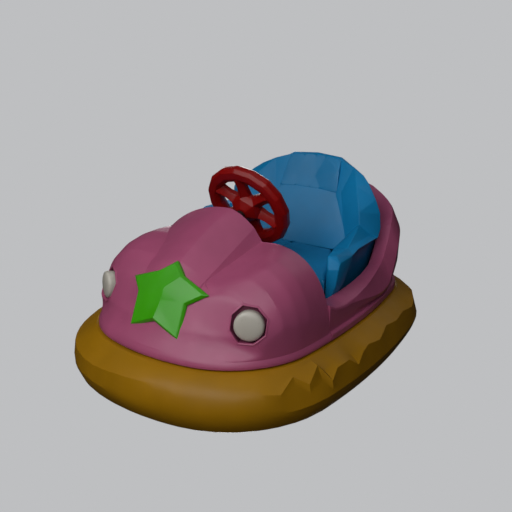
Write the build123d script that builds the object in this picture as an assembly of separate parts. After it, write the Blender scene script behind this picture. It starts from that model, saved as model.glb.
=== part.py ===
"""Fairground bumper car: two-seat dodgem body on a steel pan, ringed by a fat
rubber bumper, steered and driven by one wheel under the nose.

Frame: +X forward, +Y to the driver's left, +Z up, millimetres.
Origin: on the floor, at the middle of the car's length and width.
"""
import os
from math import cos, radians, sin

from build123d import *

# ---------------------------------------------------------------- overall
NOSE_X, TAIL_X = 650.0, -650.0      # bumper tube's centreline, front and rear
TUBE_R = 100.0                      # bumper tube
TUBE_Z = 142.0                      # height of the tube's centreline
TUBE_FLAT = 86.0                    # where the tube is flattened on its channel
# left half of the bumper's centreline, from the nose, as tangent arcs
PLAN_ARCS = [                       # radius, turn in degrees
    (807.0, 12.57),                 # nose
    (348.25, 72.49),                # front corner
    (2564.5, 16.33),                # side
]                                   # then the rear corner, and a straight tail

WEB_IN, WEB_OUT = 92.0, 86.0        # bumper channel's web, inset from centreline
WEB_Z0, SILL_Z = 88.0, 247.0        # its foot, and the underside of the sill
SILL_T = 5.0
FLOOR_Z, FLOOR_T = 126.0, 4.0       # top of floor, thickness

# ---------------------------------------------------------------- body shells
SEAM_X = 177.0                      # hood meets rear shell
SEAM_GAP = 2.0
SKIN = 8.0                          # moulded shell thickness
WALL_IN = 15.0                      # body wall, inset from the bumper centreline
LIP_Z1 = 273.0                      # top of the lip that sits on the bumper
HOOD_Z = 249.0                      # base level of the hood's lobes
HOOD_TABLE = [                      # x, crown height, crown half width, fender height, fender half width, fender centre y
    (130.0, 412.0, 230.0, 313.0, 245.0, 192.0),
    (177.0, 412.0, 230.0, 313.0, 245.0, 192.0),
    (300.0, 364.0, 226.0, 307.0, 245.0, 192.0),
    (400.0, 314.0, 214.0, 279.0, 234.0, 192.0),
    (455.0, 278.0, 206.0, 246.0, 210.0, 192.0),
    (518.0, 186.0, 210.0, 190.0, 172.0, 190.0),
    (584.0, 96.0, 212.0, 118.0, 130.0, 165.0),
    (610.0, 52.0, 205.0, 80.0, 118.0, 145.0),
    (637.0, 30.0, 180.0, 28.0, 105.0, 95.0),
]
# a quarter of an arch: (share of half width, share of height), two arcs
CROWN_ARCH = [(1.0, 0.0), (0.95, 0.312), (0.80, 0.60), (0.45, 0.893), (0.0, 1.0)]
FENDER_ARCH = [(1.0, 0.0), (0.967, 0.344), (0.83, 0.654), (0.5, 0.916), (0.0, 1.0)]
REAR_TABLE = [                      # z, inset of the rear shell's outer face
    (246.5, 15.0),
    (346.0, 11.0),
    (470.0, -12.0),
    (580.0, 12.0),
    (720.0, 62.0),
]
RIM_W = 62.0                        # width of the rear shell's flat rim
RIM_ARCS = [                        # rim height seen from the side: start, mid, end of each arc (x, z)
    ((230.0, 396.0), (45.0, 345.0), (-130.0, 366.0)),
    ((-130.0, 366.0), (-290.0, 430.0), (-440.0, 532.0)),
    ((-440.0, 532.0), (-560.0, 632.0), (-700.0, 690.0)),
]

# ---------------------------------------------------------------- lamps, star
LAMP_POS = (501.0, 328.0, 386.0)    # centre of the left lamp's face
LAMP_SPLAY, LAMP_RISE = 28.0, 4.0   # degrees outboard and up
LAMP_R, LENS_R = 61.0, 52.0
STAR_C = (545.0, 0.0, 411.0)
STAR_TILT = 30.0                    # lean of the star's face back from vertical
STAR_TIP, STAR_NOTCH = 147.0, 64.0  # radii
STAR_WIDE = 1.22                    # stretched sideways by this much
STAR_T = 18.0

# ---------------------------------------------------------------- seat
SEAT_W, SEAT_T = 352.0, 84.0        # half width outside, wall thickness
SEAT_BACK_X, SEAT_FRONT_X = -470.0, 55.0
SEAT_CORNER = 235.0
SEAT_Z0 = 330.0
POST_X = -60.0                      # arm posts start here
ARM_W = 368.0                       # half width over the arm posts
SEAT_SIDE_ARCS = [                  # top edge seen from the side (x, z)
    ((60.0, 497.0), (-30.0, 503.0), (-130.0, 505.0)),
    ((-130.0, 505.0), (-215.0, 514.0), (-262.0, 560.0)),
    ((-262.0, 560.0), (-330.0, 668.0), (-425.0, 783.0)),
]
SEAT_FRONT_ARCS = [                 # left half of the outline seen from the front (y, z)
    ((0.0, 786.0), (130.0, 770.0), (240.0, 728.0)),
    ((240.0, 728.0), (326.0, 652.0), (380.0, 550.0)),
]
BASE_X0, BASE_X1, BASE_W = -470.0, 10.0, 256.0   # box under the seat
BASE_T = 8.0

# ---------------------------------------------------------------- steering
HUB = (54.6, 0.0, 646.8)
RAKE = 26.3                         # steering wheel plane, back from vertical
WHEEL_R, WHEEL_TUBE = 151.0, 29.0
SPOKES = 6
SHAFT_R, COLUMN_R, RUN = 12.0, 20.0, 0.05
DRIVE_X = 385.0                     # king pin
GEARBOX_T = 362.0                   # distance down the column to the gearbox

# ---------------------------------------------------------------- wheels
DRIVE_R, DRIVE_W = 105.0, 46.0
REAR_R, REAR_W = 100.0, 50.0
REAR_X, REAR_Y = -360.0, 222.0
AXLE_R = 12.5
WELL_R = 164.0                      # hole in the floor for the drive unit

os.makedirs("parts", exist_ok=True)
NODES = {}


def keep(name, shape):
    """Files one sub-part under its node name."""
    solids = shape.solids()
    solid = solids[0] if len(solids) == 1 else Compound(children=list(solids))
    solid.label = name
    NODES[name] = solid
    export_step(solid, f"parts/{name}.step")


def box(x0, x1, y0, y1, z0, z1):
    return Pos((x0 + x1) / 2, (y0 + y1) / 2, (z0 + z1) / 2) * Box(x1 - x0, y1 - y0, z1 - z0)


def rod(start, end, radius):
    """Round bar between two points."""
    a, b = Vector(*start), Vector(*end)
    way = b - a
    return Plane(origin=a, z_dir=way) * Cylinder(radius, way.length, align=(Align.CENTER, Align.CENTER, Align.MIN))


def flip(shape):
    return mirror(shape, about=Plane.XZ)


# ---------------------------------------------------------------- plan curves
def plan_wire(inset=0.0, z=0.0):
    """Closed bumper centreline, moved inward by inset."""
    x, y, h = NOSE_X, 0.0, 90.0
    for radius, turn in PLAN_ARCS:
        x += radius * (sin(radians(h + turn)) - sin(radians(h)))
        h += turn
    tail_r = (x - TAIL_X) / (1 + sin(radians(h)))
    left = []
    at, heading = (NOSE_X - inset, 0.0), 90.0
    for radius, turn in PLAN_ARCS + [(tail_r, 270.0 - h)]:
        arc = JernArc(at, (cos(radians(heading)), sin(radians(heading))), radius - inset, turn)
        left.append(arc.edge() if hasattr(arc, "edge") else arc)
        end = arc @ 1
        at, heading = (end.X, end.Y), heading + turn
    tail = Line(at, (at[0], -at[1]))
    right = [mirror(e, about=Plane.XZ) for e in left]
    wire = Wire([e.edge() for e in left + [tail] + right])
    return wire.moved(Location((0, 0, z)))


def plan_face(inset, z=0.0):
    return Face(plan_wire(inset, z))


def prism(inset, z0, z1):
    return Solid.extrude(plan_face(inset, z0), Vector(0, 0, z1 - z0))


def plan_loft(table, more):
    """Ruled tower of plan curves, each inset by its own amount plus more."""
    wires = [plan_wire(inset + more, z) for z, inset in table]
    return Solid.make_loft(wires, ruled=True)


# ---------------------------------------------------------------- hood form
def arch_wire(x, y_c, half_w, height, quarter):
    pts = [(x, y_c + s * half_w, HOOD_Z + t * height) for s, t in quarter]
    back = [(x, y_c - s * half_w, HOOD_Z + t * height) for s, t in quarter][::-1]
    low = HOOD_Z - 12.0
    a, b = (x, y_c + half_w, low), (x, y_c - half_w, low)
    edges = [
        Edge.make_line(b, a),
        Edge.make_line(a, pts[0]),
        Edge.make_three_point_arc(pts[0], pts[1], pts[2]),
        Edge.make_three_point_arc(pts[2], pts[3], pts[4]),
        Edge.make_three_point_arc(back[0], back[1], back[2]),
        Edge.make_three_point_arc(back[2], back[3], back[4]),
        Edge.make_line(back[4], b),
    ]
    return Wire(edges)


def hood_form(skin):
    """The three lobes of the nose, moved inward by skin."""
    crown, left = [], []
    for x, crown_h, crown_w, fender_h, fender_w, fender_y in HOOD_TABLE:
        station = x - skin * max(0.0, x - SEAM_X) / (NOSE_X - SEAM_X)
        crown.append(arch_wire(station, 0.0, crown_w - skin, crown_h - skin, CROWN_ARCH))
        left.append(arch_wire(station, fender_y, fender_w - skin, fender_h - skin, FENDER_ARCH))
    fender = Solid.make_loft(left, ruled=True)
    lobes = Solid.make_loft(crown, ruled=True) + fender + flip(fender)
    return lobes & prism(WALL_IN + skin, 240.0 if skin > 0 else 246.5, 720.0)


ahead = box(SEAM_X, 800, -600, 600, 0, 900)
behind = box(-800, SEAM_X - SEAM_GAP, -600, 600, 0, 900)

lamp_dir = Vector(cos(radians(LAMP_SPLAY)) * cos(radians(LAMP_RISE)),
                  sin(radians(LAMP_SPLAY)) * cos(radians(LAMP_RISE)), sin(radians(LAMP_RISE)))
lamp_c = Vector(*LAMP_POS)


def lamp_bar(s0, s1, radius):
    return rod(tuple(lamp_c + lamp_dir * s0), tuple(lamp_c + lamp_dir * s1), radius)


hood_solid = hood_form(0.0) & ahead
hood_inner = hood_form(SKIN)
lip = prism(0.0, 246.5, LIP_Z1) - prism(WALL_IN + SKIN, 240.0, 300.0)
flange = prism(WALL_IN + SKIN - 1.0, SILL_Z + SILL_T, SILL_Z + SILL_T + 6.0) - prism(60.0, 240.0, 300.0)
lamp_hole = lamp_bar(-60.0, 90.0, LAMP_R)
hood = (hood_solid - hood_inner) + (lip & ahead) + (flange & ahead)
hood = hood - lamp_hole - flip(lamp_hole)
hood = hood - prism(WALL_IN + SKIN + 1.5, 240.0, SILL_Z + SILL_T)
keep("front_hood", hood)

# star plate, laid over the nose
star_dir = Vector(cos(radians(STAR_TILT)), 0, sin(radians(STAR_TILT)))
star_plane = Plane(origin=Vector(*STAR_C) - star_dir * 80, x_dir=(0, 1, 0), z_dir=star_dir)
star_pts = []
for i in range(10):
    a = radians(90 + 36 * i)
    r = STAR_TIP if i % 2 == 0 else STAR_NOTCH
    star_pts.append((STAR_WIDE * r * cos(a), r * sin(a)))
up = 1.0 if star_plane.y_dir.Z > 0 else -1.0
star_face = make_face(Polyline([(u, up * v) for u, v in star_pts], close=True))
star_bar = extrude(star_plane * star_face, amount=170.0, dir=star_dir)
star_skin = hood_form(-STAR_T) & ahead
keep("nose_star", (star_bar & star_skin) - hood_form(-0.3))

# headlights: a cup with a lens in its mouth
bezel = lamp_bar(-34.0, 9.0, LAMP_R) - lamp_bar(-18.0, 20.0, LENS_R)
lens = lamp_bar(-18.0, 5.0, LENS_R)
for side, turn in (("left", lambda s: s), ("right", flip)):
    keep(f"headlight_bezel_{side}", turn(bezel))
    keep(f"headlight_lens_{side}", turn(lens))

# ---------------------------------------------------------------- rear shell
def below_rim(drop):
    edges = [Edge.make_three_point_arc(*[(x, 0, z - drop) for x, z in arc]) for arc in RIM_ARCS]
    (x0, z0), (x1, z1) = RIM_ARCS[0][0], RIM_ARCS[-1][2]
    edges += [Edge.make_line((x1, 0, z1 - drop), (x1, 0, 200.0)),
              Edge.make_line((x1, 0, 200.0), (x0, 0, 200.0)),
              Edge.make_line((x0, 0, 200.0), (x0, 0, z0 - drop))]
    face = Face(Wire(edges))
    slab = Solid.extrude(face, Vector(0, 1200, 0))
    return slab.moved(Location((0, -600, 0)))


tub = (plan_loft(REAR_TABLE, 0.0) - plan_loft(REAR_TABLE, RIM_W)) & below_rim(0.0)
hollow = (plan_loft(REAR_TABLE, SKIN) - plan_loft(REAR_TABLE, RIM_W - 6.0)) & below_rim(SKIN)
hollow = hollow & box(-800, 800, -600, 600, SILL_Z + SILL_T + 6.0, 900)
tub = tub - hollow - prism(WALL_IN + SKIN, 240.0, SILL_Z + SILL_T)
keep("rear_shell", (tub + lip) & behind)

# ---------------------------------------------------------------- bumper
flat_t = (TUBE_R ** 2 - TUBE_FLAT ** 2) ** 0.5
section = Face(Wire([
    Edge.make_three_point_arc((NOSE_X - TUBE_FLAT, 0, TUBE_Z - flat_t), (NOSE_X + TUBE_R, 0, TUBE_Z),
                              (NOSE_X - TUBE_FLAT, 0, TUBE_Z + flat_t)),
    Edge.make_line((NOSE_X - TUBE_FLAT, 0, TUBE_Z + flat_t), (NOSE_X - TUBE_FLAT, 0, TUBE_Z - flat_t)),
]))
keep("bumper_tube", sweep(section, path=plan_wire(0.0, TUBE_Z)))
channel = prism(WEB_OUT, WEB_Z0, SILL_Z) - prism(WEB_IN, WEB_Z0 - 10, SILL_Z + 10)
channel = channel + (prism(WALL_IN + SKIN + 2.0, SILL_Z, SILL_Z + SILL_T) - prism(WEB_IN, SILL_Z - 10, SILL_Z + 20))
keep("bumper_channel", channel)

# ---------------------------------------------------------------- chassis
floor = prism(WEB_IN, FLOOR_Z - FLOOR_T, FLOOR_Z)
floor = floor - Pos(DRIVE_X, 0, FLOOR_Z) * Cylinder(WELL_R, 40)
for side in (1, -1):
    y0, y1 = sorted((side * (REAR_Y - 34), side * (REAR_Y + 34)))
    floor = floor - box(REAR_X - 112, REAR_X + 112, y0, y1, 100, 140)
keep("floor_pan", floor)

RAIL_Z0, RAIL_Z1 = 82.0, FLOOR_Z - FLOOR_T
rails = [                           # x0, x1, y0, y1 of each box-section member
    (-520, 205, 128, 168),
    (-520, 205, -168, -128),
    (165, 205, -400, 400),
    (-520, -484, -300, 300),
    (-180, -140, -400, 400),
]
frame = None
for x0, x1, y0, y1 in rails:
    bar = box(x0, x1, y0, y1, RAIL_Z0, RAIL_Z1)
    frame = bar if frame is None else frame + bar
frame = frame & prism(WEB_IN, RAIL_Z0 - 5, RAIL_Z1 + 5)
frame = frame - rod((REAR_X, -300, REAR_R), (REAR_X, 300, REAR_R), AXLE_R)
keep("chassis_frame", frame)

# bridge across the nose that carries the king pin
CROSS_Z0 = SILL_Z + SILL_T + 6.0
bridge = box(DRIVE_X - 40, DRIVE_X + 40, -322, 322, SILL_Z + SILL_T, SILL_Z + SILL_T + 40)
housing_z0 = 240.0
bridge = bridge - rod((DRIVE_X, 0, 200), (DRIVE_X, 0, 400), 34.0)
keep("nose_bridge", bridge)
housing = rod((DRIVE_X, 0, housing_z0), (DRIVE_X, 0, SILL_Z + SILL_T + 40), 34.0) - rod((DRIVE_X, 0, 200), (DRIVE_X, 0, 400), 16.0 + RUN)
keep("king_pin_housing", housing)

# ---------------------------------------------------------------- steering
rake = radians(RAKE)
to_driver = Vector(-cos(rake), 0, sin(rake))
hub_c = Vector(*HUB)


def along(t):
    """Point on the steering axis, t mm ahead of the hub."""
    return hub_c - to_driver * t


wheel_plane = Plane(origin=hub_c, x_dir=(0, 1, 0), z_dir=to_driver)
rim = wheel_plane * Torus(WHEEL_R, WHEEL_TUBE)
hub_plate = wheel_plane * Cylinder(44.0, 34.0)
spider = hub_plate
for i in range(SPOKES):
    arm = Rot(0, 0, 360.0 / SPOKES * i + 30) * (Pos(85.0, 0, 0) * Box(100.0, 26.0, 20.0))
    spider = spider + wheel_plane * arm
spider = spider - rim - rod(tuple(along(2.0)), tuple(along(60.0)), SHAFT_R)
keep("steering_wheel_rim", rim)
keep("steering_wheel_spokes", spider)
horn = wheel_plane * (Pos(0, 0, 17.0) * Cone(30.0, 14.0, 18.0, align=(Align.CENTER, Align.CENTER, Align.MIN)))
keep("steering_hub_cap", horn)
keep("steering_shaft", rod(tuple(along(2.0)), tuple(along(GEARBOX_T - 20.0)), SHAFT_R))

column = rod(tuple(along(58.0)), tuple(along(GEARBOX_T - 46.0)), COLUMN_R)
column = column - rod(tuple(along(40.0)), tuple(along(GEARBOX_T)), SHAFT_R + RUN)
keep("steering_column", column)

gear_c = along(GEARBOX_T)
gear_plane = Plane(origin=gear_c, x_dir=(0, 1, 0), z_dir=to_driver)
gearbox = gear_plane * Pos(0, 0, -2) * Box(96.0, 96.0, 92.0, align=(Align.CENTER, Align.CENTER, Align.CENTER))
gearbox = gearbox - rod(tuple(along(GEARBOX_T - 60)), tuple(along(GEARBOX_T - 18)), SHAFT_R + RUN)
KING_TOP = 452.0
gearbox = gearbox - rod((DRIVE_X, 0, 380), (DRIVE_X, 0, KING_TOP + 2), 15.0 + RUN)
keep("steering_gearbox", gearbox)

# stand from the bridge up to the gearbox
stand_z0 = SILL_Z + SILL_T + 40
stand = (box(DRIVE_X - 30, DRIVE_X + 30, 48, 56, stand_z0, 500)
         + box(DRIVE_X - 30, DRIVE_X + 30, -56, -48, stand_z0, 500))
stand = stand + box(DRIVE_X - 30, DRIVE_X + 30, -80, 80, stand_z0, stand_z0 + 6) - rod((DRIVE_X, 0, 200), (DRIVE_X, 0, 400), 22.0)
keep("gearbox_stand", stand)

# dash bulkhead under the hood's rear edge, with the knees' space open below
dash = hood_form(SKIN) & box(SEAM_X + 4, SEAM_X + 10, -500, 500, 455, 800)
dash = dash - rod(tuple(along(40.0)), tuple(along(GEARBOX_T)), COLUMN_R)
keep("dash_panel", dash)

toe = box(208, 213, -334, 334, FLOOR_Z, 330) - prism(0, 0, 1)
toe = toe & prism(WEB_IN, FLOOR_Z, 340)
keep("toe_board", toe)

# pedal: a tread plate on a wedge block against the toe board
pedal_side = [(118, FLOOR_Z), (208, FLOOR_Z), (208, 232), (200, 232), (118, 138)]
tread = [(110, 138), (118, 130), (206, 232), (198, 240)]
pedal = extrude(Plane.XZ * make_face(Polyline(pedal_side, close=True)), amount=14, both=True)
pedal = pedal + extrude(Plane.XZ * make_face(Polyline(tread, close=True)), amount=38, both=True)
keep("accelerator_pedal", Pos(0, -110, 0) * pedal & box(60, 208, -200, 0, FLOOR_Z, 400))

# ---------------------------------------------------------------- seat
seat_box = box(BASE_X0, BASE_X1, -BASE_W, BASE_W, FLOOR_Z, SEAT_Z0)
seat_box = seat_box - box(BASE_X0 + BASE_T, BASE_X1 - BASE_T, -BASE_W + BASE_T, BASE_W - BASE_T, FLOOR_Z - 5, SEAT_Z0 - BASE_T)
keep("seat_base", seat_box)
keep("battery_pack", box(-235, -25, -165, 165, FLOOR_Z, FLOOR_Z + 180))


def seat_plan(inset, front, z0, z1):
    w, back, r = SEAT_W - inset, SEAT_BACK_X + inset, SEAT_CORNER - inset
    c = r * (1 - cos(radians(45)))
    edges = [
        Edge.make_line((front, w, z0), (back + r, w, z0)),
        Edge.make_three_point_arc((back + r, w, z0), (back + c, w - c, z0), (back, w - r, z0)),
        Edge.make_line((back, w - r, z0), (back, r - w, z0)),
        Edge.make_three_point_arc((back, r - w, z0), (back + c, c - w, z0), (back + r, -w, z0)),
        Edge.make_line((back + r, -w, z0), (front, -w, z0)),
        Edge.make_line((front, -w, z0), (front, w, z0)),
    ]
    return Solid.extrude(Face(Wire(edges)), Vector(0, 0, z1 - z0))


def seat_side():
    edges = [Edge.make_three_point_arc(*[(x, 0, z) for x, z in arc]) for arc in SEAT_SIDE_ARCS]
    (x0, z0), (x1, z1) = SEAT_SIDE_ARCS[0][0], SEAT_SIDE_ARCS[-1][2]
    edges += [Edge.make_line((x1, 0, z1), (-500, 0, z1)), Edge.make_line((-500, 0, z1), (-500, 0, 200)),
              Edge.make_line((-500, 0, 200), (x0, 0, 200)), Edge.make_line((x0, 0, 200), (x0, 0, z0))]
    return Solid.extrude(Face(Wire(edges)), Vector(0, 1000, 0)).moved(Location((0, -500, 0)))


def seat_front():
    left = [Edge.make_three_point_arc(*[(0, y, z) for y, z in arc]) for arc in SEAT_FRONT_ARCS]
    right = [mirror(e, about=Plane.XZ) for e in left]
    y1, z1 = SEAT_FRONT_ARCS[-1][2]
    foot = [Edge.make_line((0, y1, z1), (0, y1, 200)), Edge.make_line((0, y1, 200), (0, -y1, 200)),
            Edge.make_line((0, -y1, 200), (0, -y1, z1))]
    return Solid.extrude(Face(Wire([e.edge() for e in left + right] + foot)), Vector(700, 0, 0)).moved(Location((-550, 0, 0)))


seat_form = seat_side() & seat_front()
shell = (seat_plan(0.0, POST_X, SEAT_Z0, 800) - seat_plan(SEAT_T, 200, SEAT_Z0 + 12, 820)) & seat_form
keep("seat_shell", shell)
post = (box(POST_X, SEAT_FRONT_X, SEAT_W - SEAT_T, ARM_W, 258, 600) & seat_form)
keep("seat_arm_left", post)
keep("seat_arm_right", flip(post))
inner_w = SEAT_W - SEAT_T
cushion = seat_plan(SEAT_T + 1.0, 42.0, SEAT_Z0 + 12.5, 412.0) & box(-340, 42, -400, 400, 300, 450)
keep("seat_cushion", cushion)
back_pts = [(-385.5, 413), (-275, 413), (-300, 470), (-352, 640), (-385.5, 640)]
clear_of_shell = seat_plan(SEAT_T + 1.0, 200.0, 300.0, 800.0)
back = extrude(make_face(Plane.XZ * Polyline(back_pts, close=True)), amount=400, both=True)
keep("seat_back_pad", back & box(-500, 0, -226, 226, 400, 700) & clear_of_shell)
head_pts = [(-385.5, 642), (-355, 642), (-372, 752), (-385.5, 752)]
head = extrude(make_face(Plane.XZ * Polyline(head_pts, close=True)), amount=400, both=True)
keep("headrest_pad", head & box(-500, 0, -176, 176, 600, 800) & clear_of_shell)

# ---------------------------------------------------------------- drive unit
FORK_TOP, FORK_T = 234.0, 12.0
fork = box(DRIVE_X - 48, DRIVE_X + 48, -40, 40, FORK_TOP - FORK_T, FORK_TOP)
leg = box(DRIVE_X - 30, DRIVE_X + 30, 32, 40, 74, FORK_TOP - FORK_T)
fork = fork + leg + flip(leg)
axle_line = rod((DRIVE_X, -60, DRIVE_R), (DRIVE_X, 60, DRIVE_R), 10.0)
fork = fork - axle_line
keep("drive_fork", fork)
keep("king_pin", rod((DRIVE_X, 0, FORK_TOP), (DRIVE_X, 0, 332), 16.0) + rod((DRIVE_X, 0, 332), (DRIVE_X, 0, KING_TOP), 15.0))
keep("drive_axle", rod((DRIVE_X, -40, DRIVE_R), (DRIVE_X, 40, DRIVE_R), 10.0))
keep("drive_motor", rod((DRIVE_X, -138, DRIVE_R + 8), (DRIVE_X, -40, DRIVE_R + 8), 58.0))
bore = rod((DRIVE_X, -60, DRIVE_R), (DRIVE_X, 60, DRIVE_R), 10.0 + RUN)
drive_hub = rod((DRIVE_X, -26, DRIVE_R), (DRIVE_X, 26, DRIVE_R), 24.0) + rod((DRIVE_X, -DRIVE_W / 2, DRIVE_R), (DRIVE_X, DRIVE_W / 2, DRIVE_R), 72.0)
keep("drive_wheel_rim", drive_hub - bore)


def tyre(x, y, z, width, r_out, r_in):
    """Solid tyre with rounded shoulders."""
    s = 9.0
    pts = [(-width / 2, r_in), (-width / 2, r_out - s), (-width / 2 + s, r_out), (width / 2 - s, r_out),
           (width / 2, r_out - s), (width / 2, r_in)]
    m = s * (1 - cos(radians(45)))
    edges = [
        Edge.make_line((pts[0][0], pts[0][1], 0), (pts[1][0], pts[1][1], 0)),
        Edge.make_three_point_arc((pts[1][0], pts[1][1], 0), (-width / 2 + m, r_out - m, 0), (pts[2][0], pts[2][1], 0)),
        Edge.make_line((pts[2][0], pts[2][1], 0), (pts[3][0], pts[3][1], 0)),
        Edge.make_three_point_arc((pts[3][0], pts[3][1], 0), (width / 2 - m, r_out - m, 0), (pts[4][0], pts[4][1], 0)),
        Edge.make_line((pts[4][0], pts[4][1], 0), (pts[5][0], pts[5][1], 0)),
        Edge.make_line((pts[5][0], pts[5][1], 0), (pts[0][0], pts[0][1], 0)),
    ]
    ring = revolve(Face(Wire(edges)), axis=Axis.X, revolution_arc=360)
    return Pos(x, y, z) * (Rot(0, 0, 90) * ring)


keep("drive_tyre", tyre(DRIVE_X, 0, DRIVE_R, DRIVE_W, DRIVE_R, 72.0))

# ---------------------------------------------------------------- rear wheels
keep("rear_axle", rod((REAR_X, -(REAR_Y + 32), REAR_R), (REAR_X, REAR_Y + 32, REAR_R), AXLE_R))
bracket = box(REAR_X - 35, REAR_X + 35, 170, 178, 78, FLOOR_Z - FLOOR_T)
bracket = bracket - rod((REAR_X, 100, REAR_R), (REAR_X, 300, REAR_R), AXLE_R)
wheel_hub = rod((REAR_X, REAR_Y - 28, REAR_R), (REAR_X, REAR_Y + 28, REAR_R), 26.0)
disc = rod((REAR_X, REAR_Y - REAR_W / 2, REAR_R), (REAR_X, REAR_Y + REAR_W / 2, REAR_R), 66.0)
dish = rod((REAR_X, REAR_Y + 8, REAR_R), (REAR_X, REAR_Y + 60, REAR_R), 54.0)
wheel = (disc - dish) + wheel_hub - rod((REAR_X, 100, REAR_R), (REAR_X, 300, REAR_R), AXLE_R + RUN)
for side, turn in (("left", lambda s: s), ("right", flip)):
    keep(f"axle_bracket_{side}", turn(bracket))
    keep(f"rear_rim_{side}", turn(wheel))
    keep(f"rear_tyre_{side}", turn(tyre(REAR_X, REAR_Y, REAR_R, REAR_W, REAR_R, 66.0)))

boxes = [s.bounding_box() for s in NODES.values()]
lo = [min(tuple(b.min)[k] for b in boxes) for k in range(3)]
hi = [max(tuple(b.max)[k] for b in boxes) for k in range(3)]
print(len(NODES), "nodes, box", [round(v, 1) for v in lo], [round(v, 1) for v in hi])
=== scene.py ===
import bpy, bmesh, math
import numpy as np
from mathutils import Vector, Matrix


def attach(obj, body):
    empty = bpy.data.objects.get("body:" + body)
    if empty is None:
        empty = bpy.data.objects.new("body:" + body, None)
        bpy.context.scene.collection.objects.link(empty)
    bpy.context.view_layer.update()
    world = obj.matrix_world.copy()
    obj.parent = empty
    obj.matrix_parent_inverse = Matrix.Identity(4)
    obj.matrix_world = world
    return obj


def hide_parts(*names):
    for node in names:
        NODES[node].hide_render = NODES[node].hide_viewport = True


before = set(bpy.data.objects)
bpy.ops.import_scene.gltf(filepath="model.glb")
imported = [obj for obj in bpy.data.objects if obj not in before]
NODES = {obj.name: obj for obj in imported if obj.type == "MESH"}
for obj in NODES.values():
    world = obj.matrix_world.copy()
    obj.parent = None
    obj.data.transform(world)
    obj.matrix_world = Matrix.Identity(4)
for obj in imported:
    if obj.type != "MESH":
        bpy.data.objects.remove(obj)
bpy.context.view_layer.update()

S = bpy.context.scene
MM = 0.001

# ------------------------------------------------------------------ camera
cam = bpy.data.objects.new("camera", bpy.data.cameras.new("camera"))
S.collection.objects.link(cam)
S.camera = cam
cam.location = (2.182, 1.593, 1.313)
cam.rotation_euler = (Vector((0.009, 0.0, 0.430)) - Vector(cam.location)).to_track_quat('-Z', 'Y').to_euler()
cam.data.lens, cam.data.sensor_width, cam.data.clip_end = 50.0, 36.0, 200.0


# ------------------------------------------------------------------ materials
class Mat:
    """A node material around one Principled BSDF, with a few helpers."""

    def __init__(self, name, rough=0.45, **sockets):
        self.m = bpy.data.materials.new(name)
        self.m.use_nodes = True
        self.t = self.m.node_tree
        self.b = self.t.nodes["Principled BSDF"]
        self.b.inputs["Roughness"].default_value = rough
        for k, v in sockets.items():
            self.b.inputs[k.replace("_", " ")].default_value = v
        self.tc = self.t.nodes.new("ShaderNodeTexCoord")

    def node(self, kind, **props):
        n = self.t.nodes.new("ShaderNode" + kind)
        for k, v in props.items():
            setattr(n, k, v)
        return n

    def link(self, a, b):
        self.t.links.new(a, b)

    def coords(self, scale=(1, 1, 1)):
        mp = self.node("Mapping")
        mp.inputs["Scale"].default_value = scale
        self.link(self.tc.outputs["Object"], mp.inputs["Vector"])
        return mp.outputs["Vector"]

    def noise(self, scale, detail=3.0, rough=0.55, stretch=(1, 1, 1)):
        n = self.node("TexNoise")
        n.inputs["Scale"].default_value = scale
        n.inputs["Detail"].default_value = detail
        n.inputs["Roughness"].default_value = rough
        self.link(self.coords(stretch), n.inputs["Vector"])
        return n.outputs["Fac"]

    def ramp(self, fac, stops):
        r = self.node("ValToRGB")
        r.color_ramp.elements[0].position, r.color_ramp.elements[0].color = stops[0][0], (*stops[0][1], 1)
        r.color_ramp.elements[1].position, r.color_ramp.elements[1].color = stops[-1][0], (*stops[-1][1], 1)
        for p, c in stops[1:-1]:
            e = r.color_ramp.elements.new(p)
            e.color = (*c, 1)
        self.link(fac, r.inputs["Fac"])
        return r.outputs["Color"]

    def maprange(self, fac, a, b, c, d):
        r = self.node("MapRange")
        for i, v in enumerate((a, b, c, d)):
            r.inputs[1 + i].default_value = v
        self.link(fac, r.inputs[0])
        return r.outputs[0]

    def mix(self, fac, a, b):
        n = self.node("Mix", data_type='RGBA')
        for sock, v in ((n.inputs[0], fac), (n.inputs[6], a), (n.inputs[7], b)):
            if hasattr(v, "links"):
                self.link(v, sock)
            else:
                sock.default_value = v if not isinstance(v, tuple) else (*v, 1)
        return n.outputs[2]

    def math(self, op, a, b=0.0):
        n = self.node("Math", operation=op)
        for i, v in enumerate((a, b)):
            if hasattr(v, "links"):
                self.link(v, n.inputs[i])
            else:
                n.inputs[i].default_value = v
        return n.outputs[0]

    def color(self, sock):
        self.link(sock, self.b.inputs["Base Color"])

    def rough(self, sock):
        self.link(sock, self.b.inputs["Roughness"])

    def bump(self, height, strength=0.3, dist=0.001, prev=None):
        n = self.node("Bump")
        n.inputs["Strength"].default_value = strength
        n.inputs["Distance"].default_value = dist
        self.link(height, n.inputs["Height"])
        if prev is not None:
            self.link(prev, n.inputs["Normal"])
        self.link(n.outputs[0], self.b.inputs["Normal"])
        return n.outputs[0]


def tint(c, k):
    return tuple(min(1.0, x * k) for x in c)


PINK, OCHRE, BLUE = (0.408, 0.0855, 0.183), (0.336, 0.161, 0.0025), (0.0044, 0.199, 0.439)
RED, GREEN, LENS = (0.21, 0.0022, 0.0018), (0.050, 0.40, 0.0008), (0.55, 0.52, 0.455)


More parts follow.
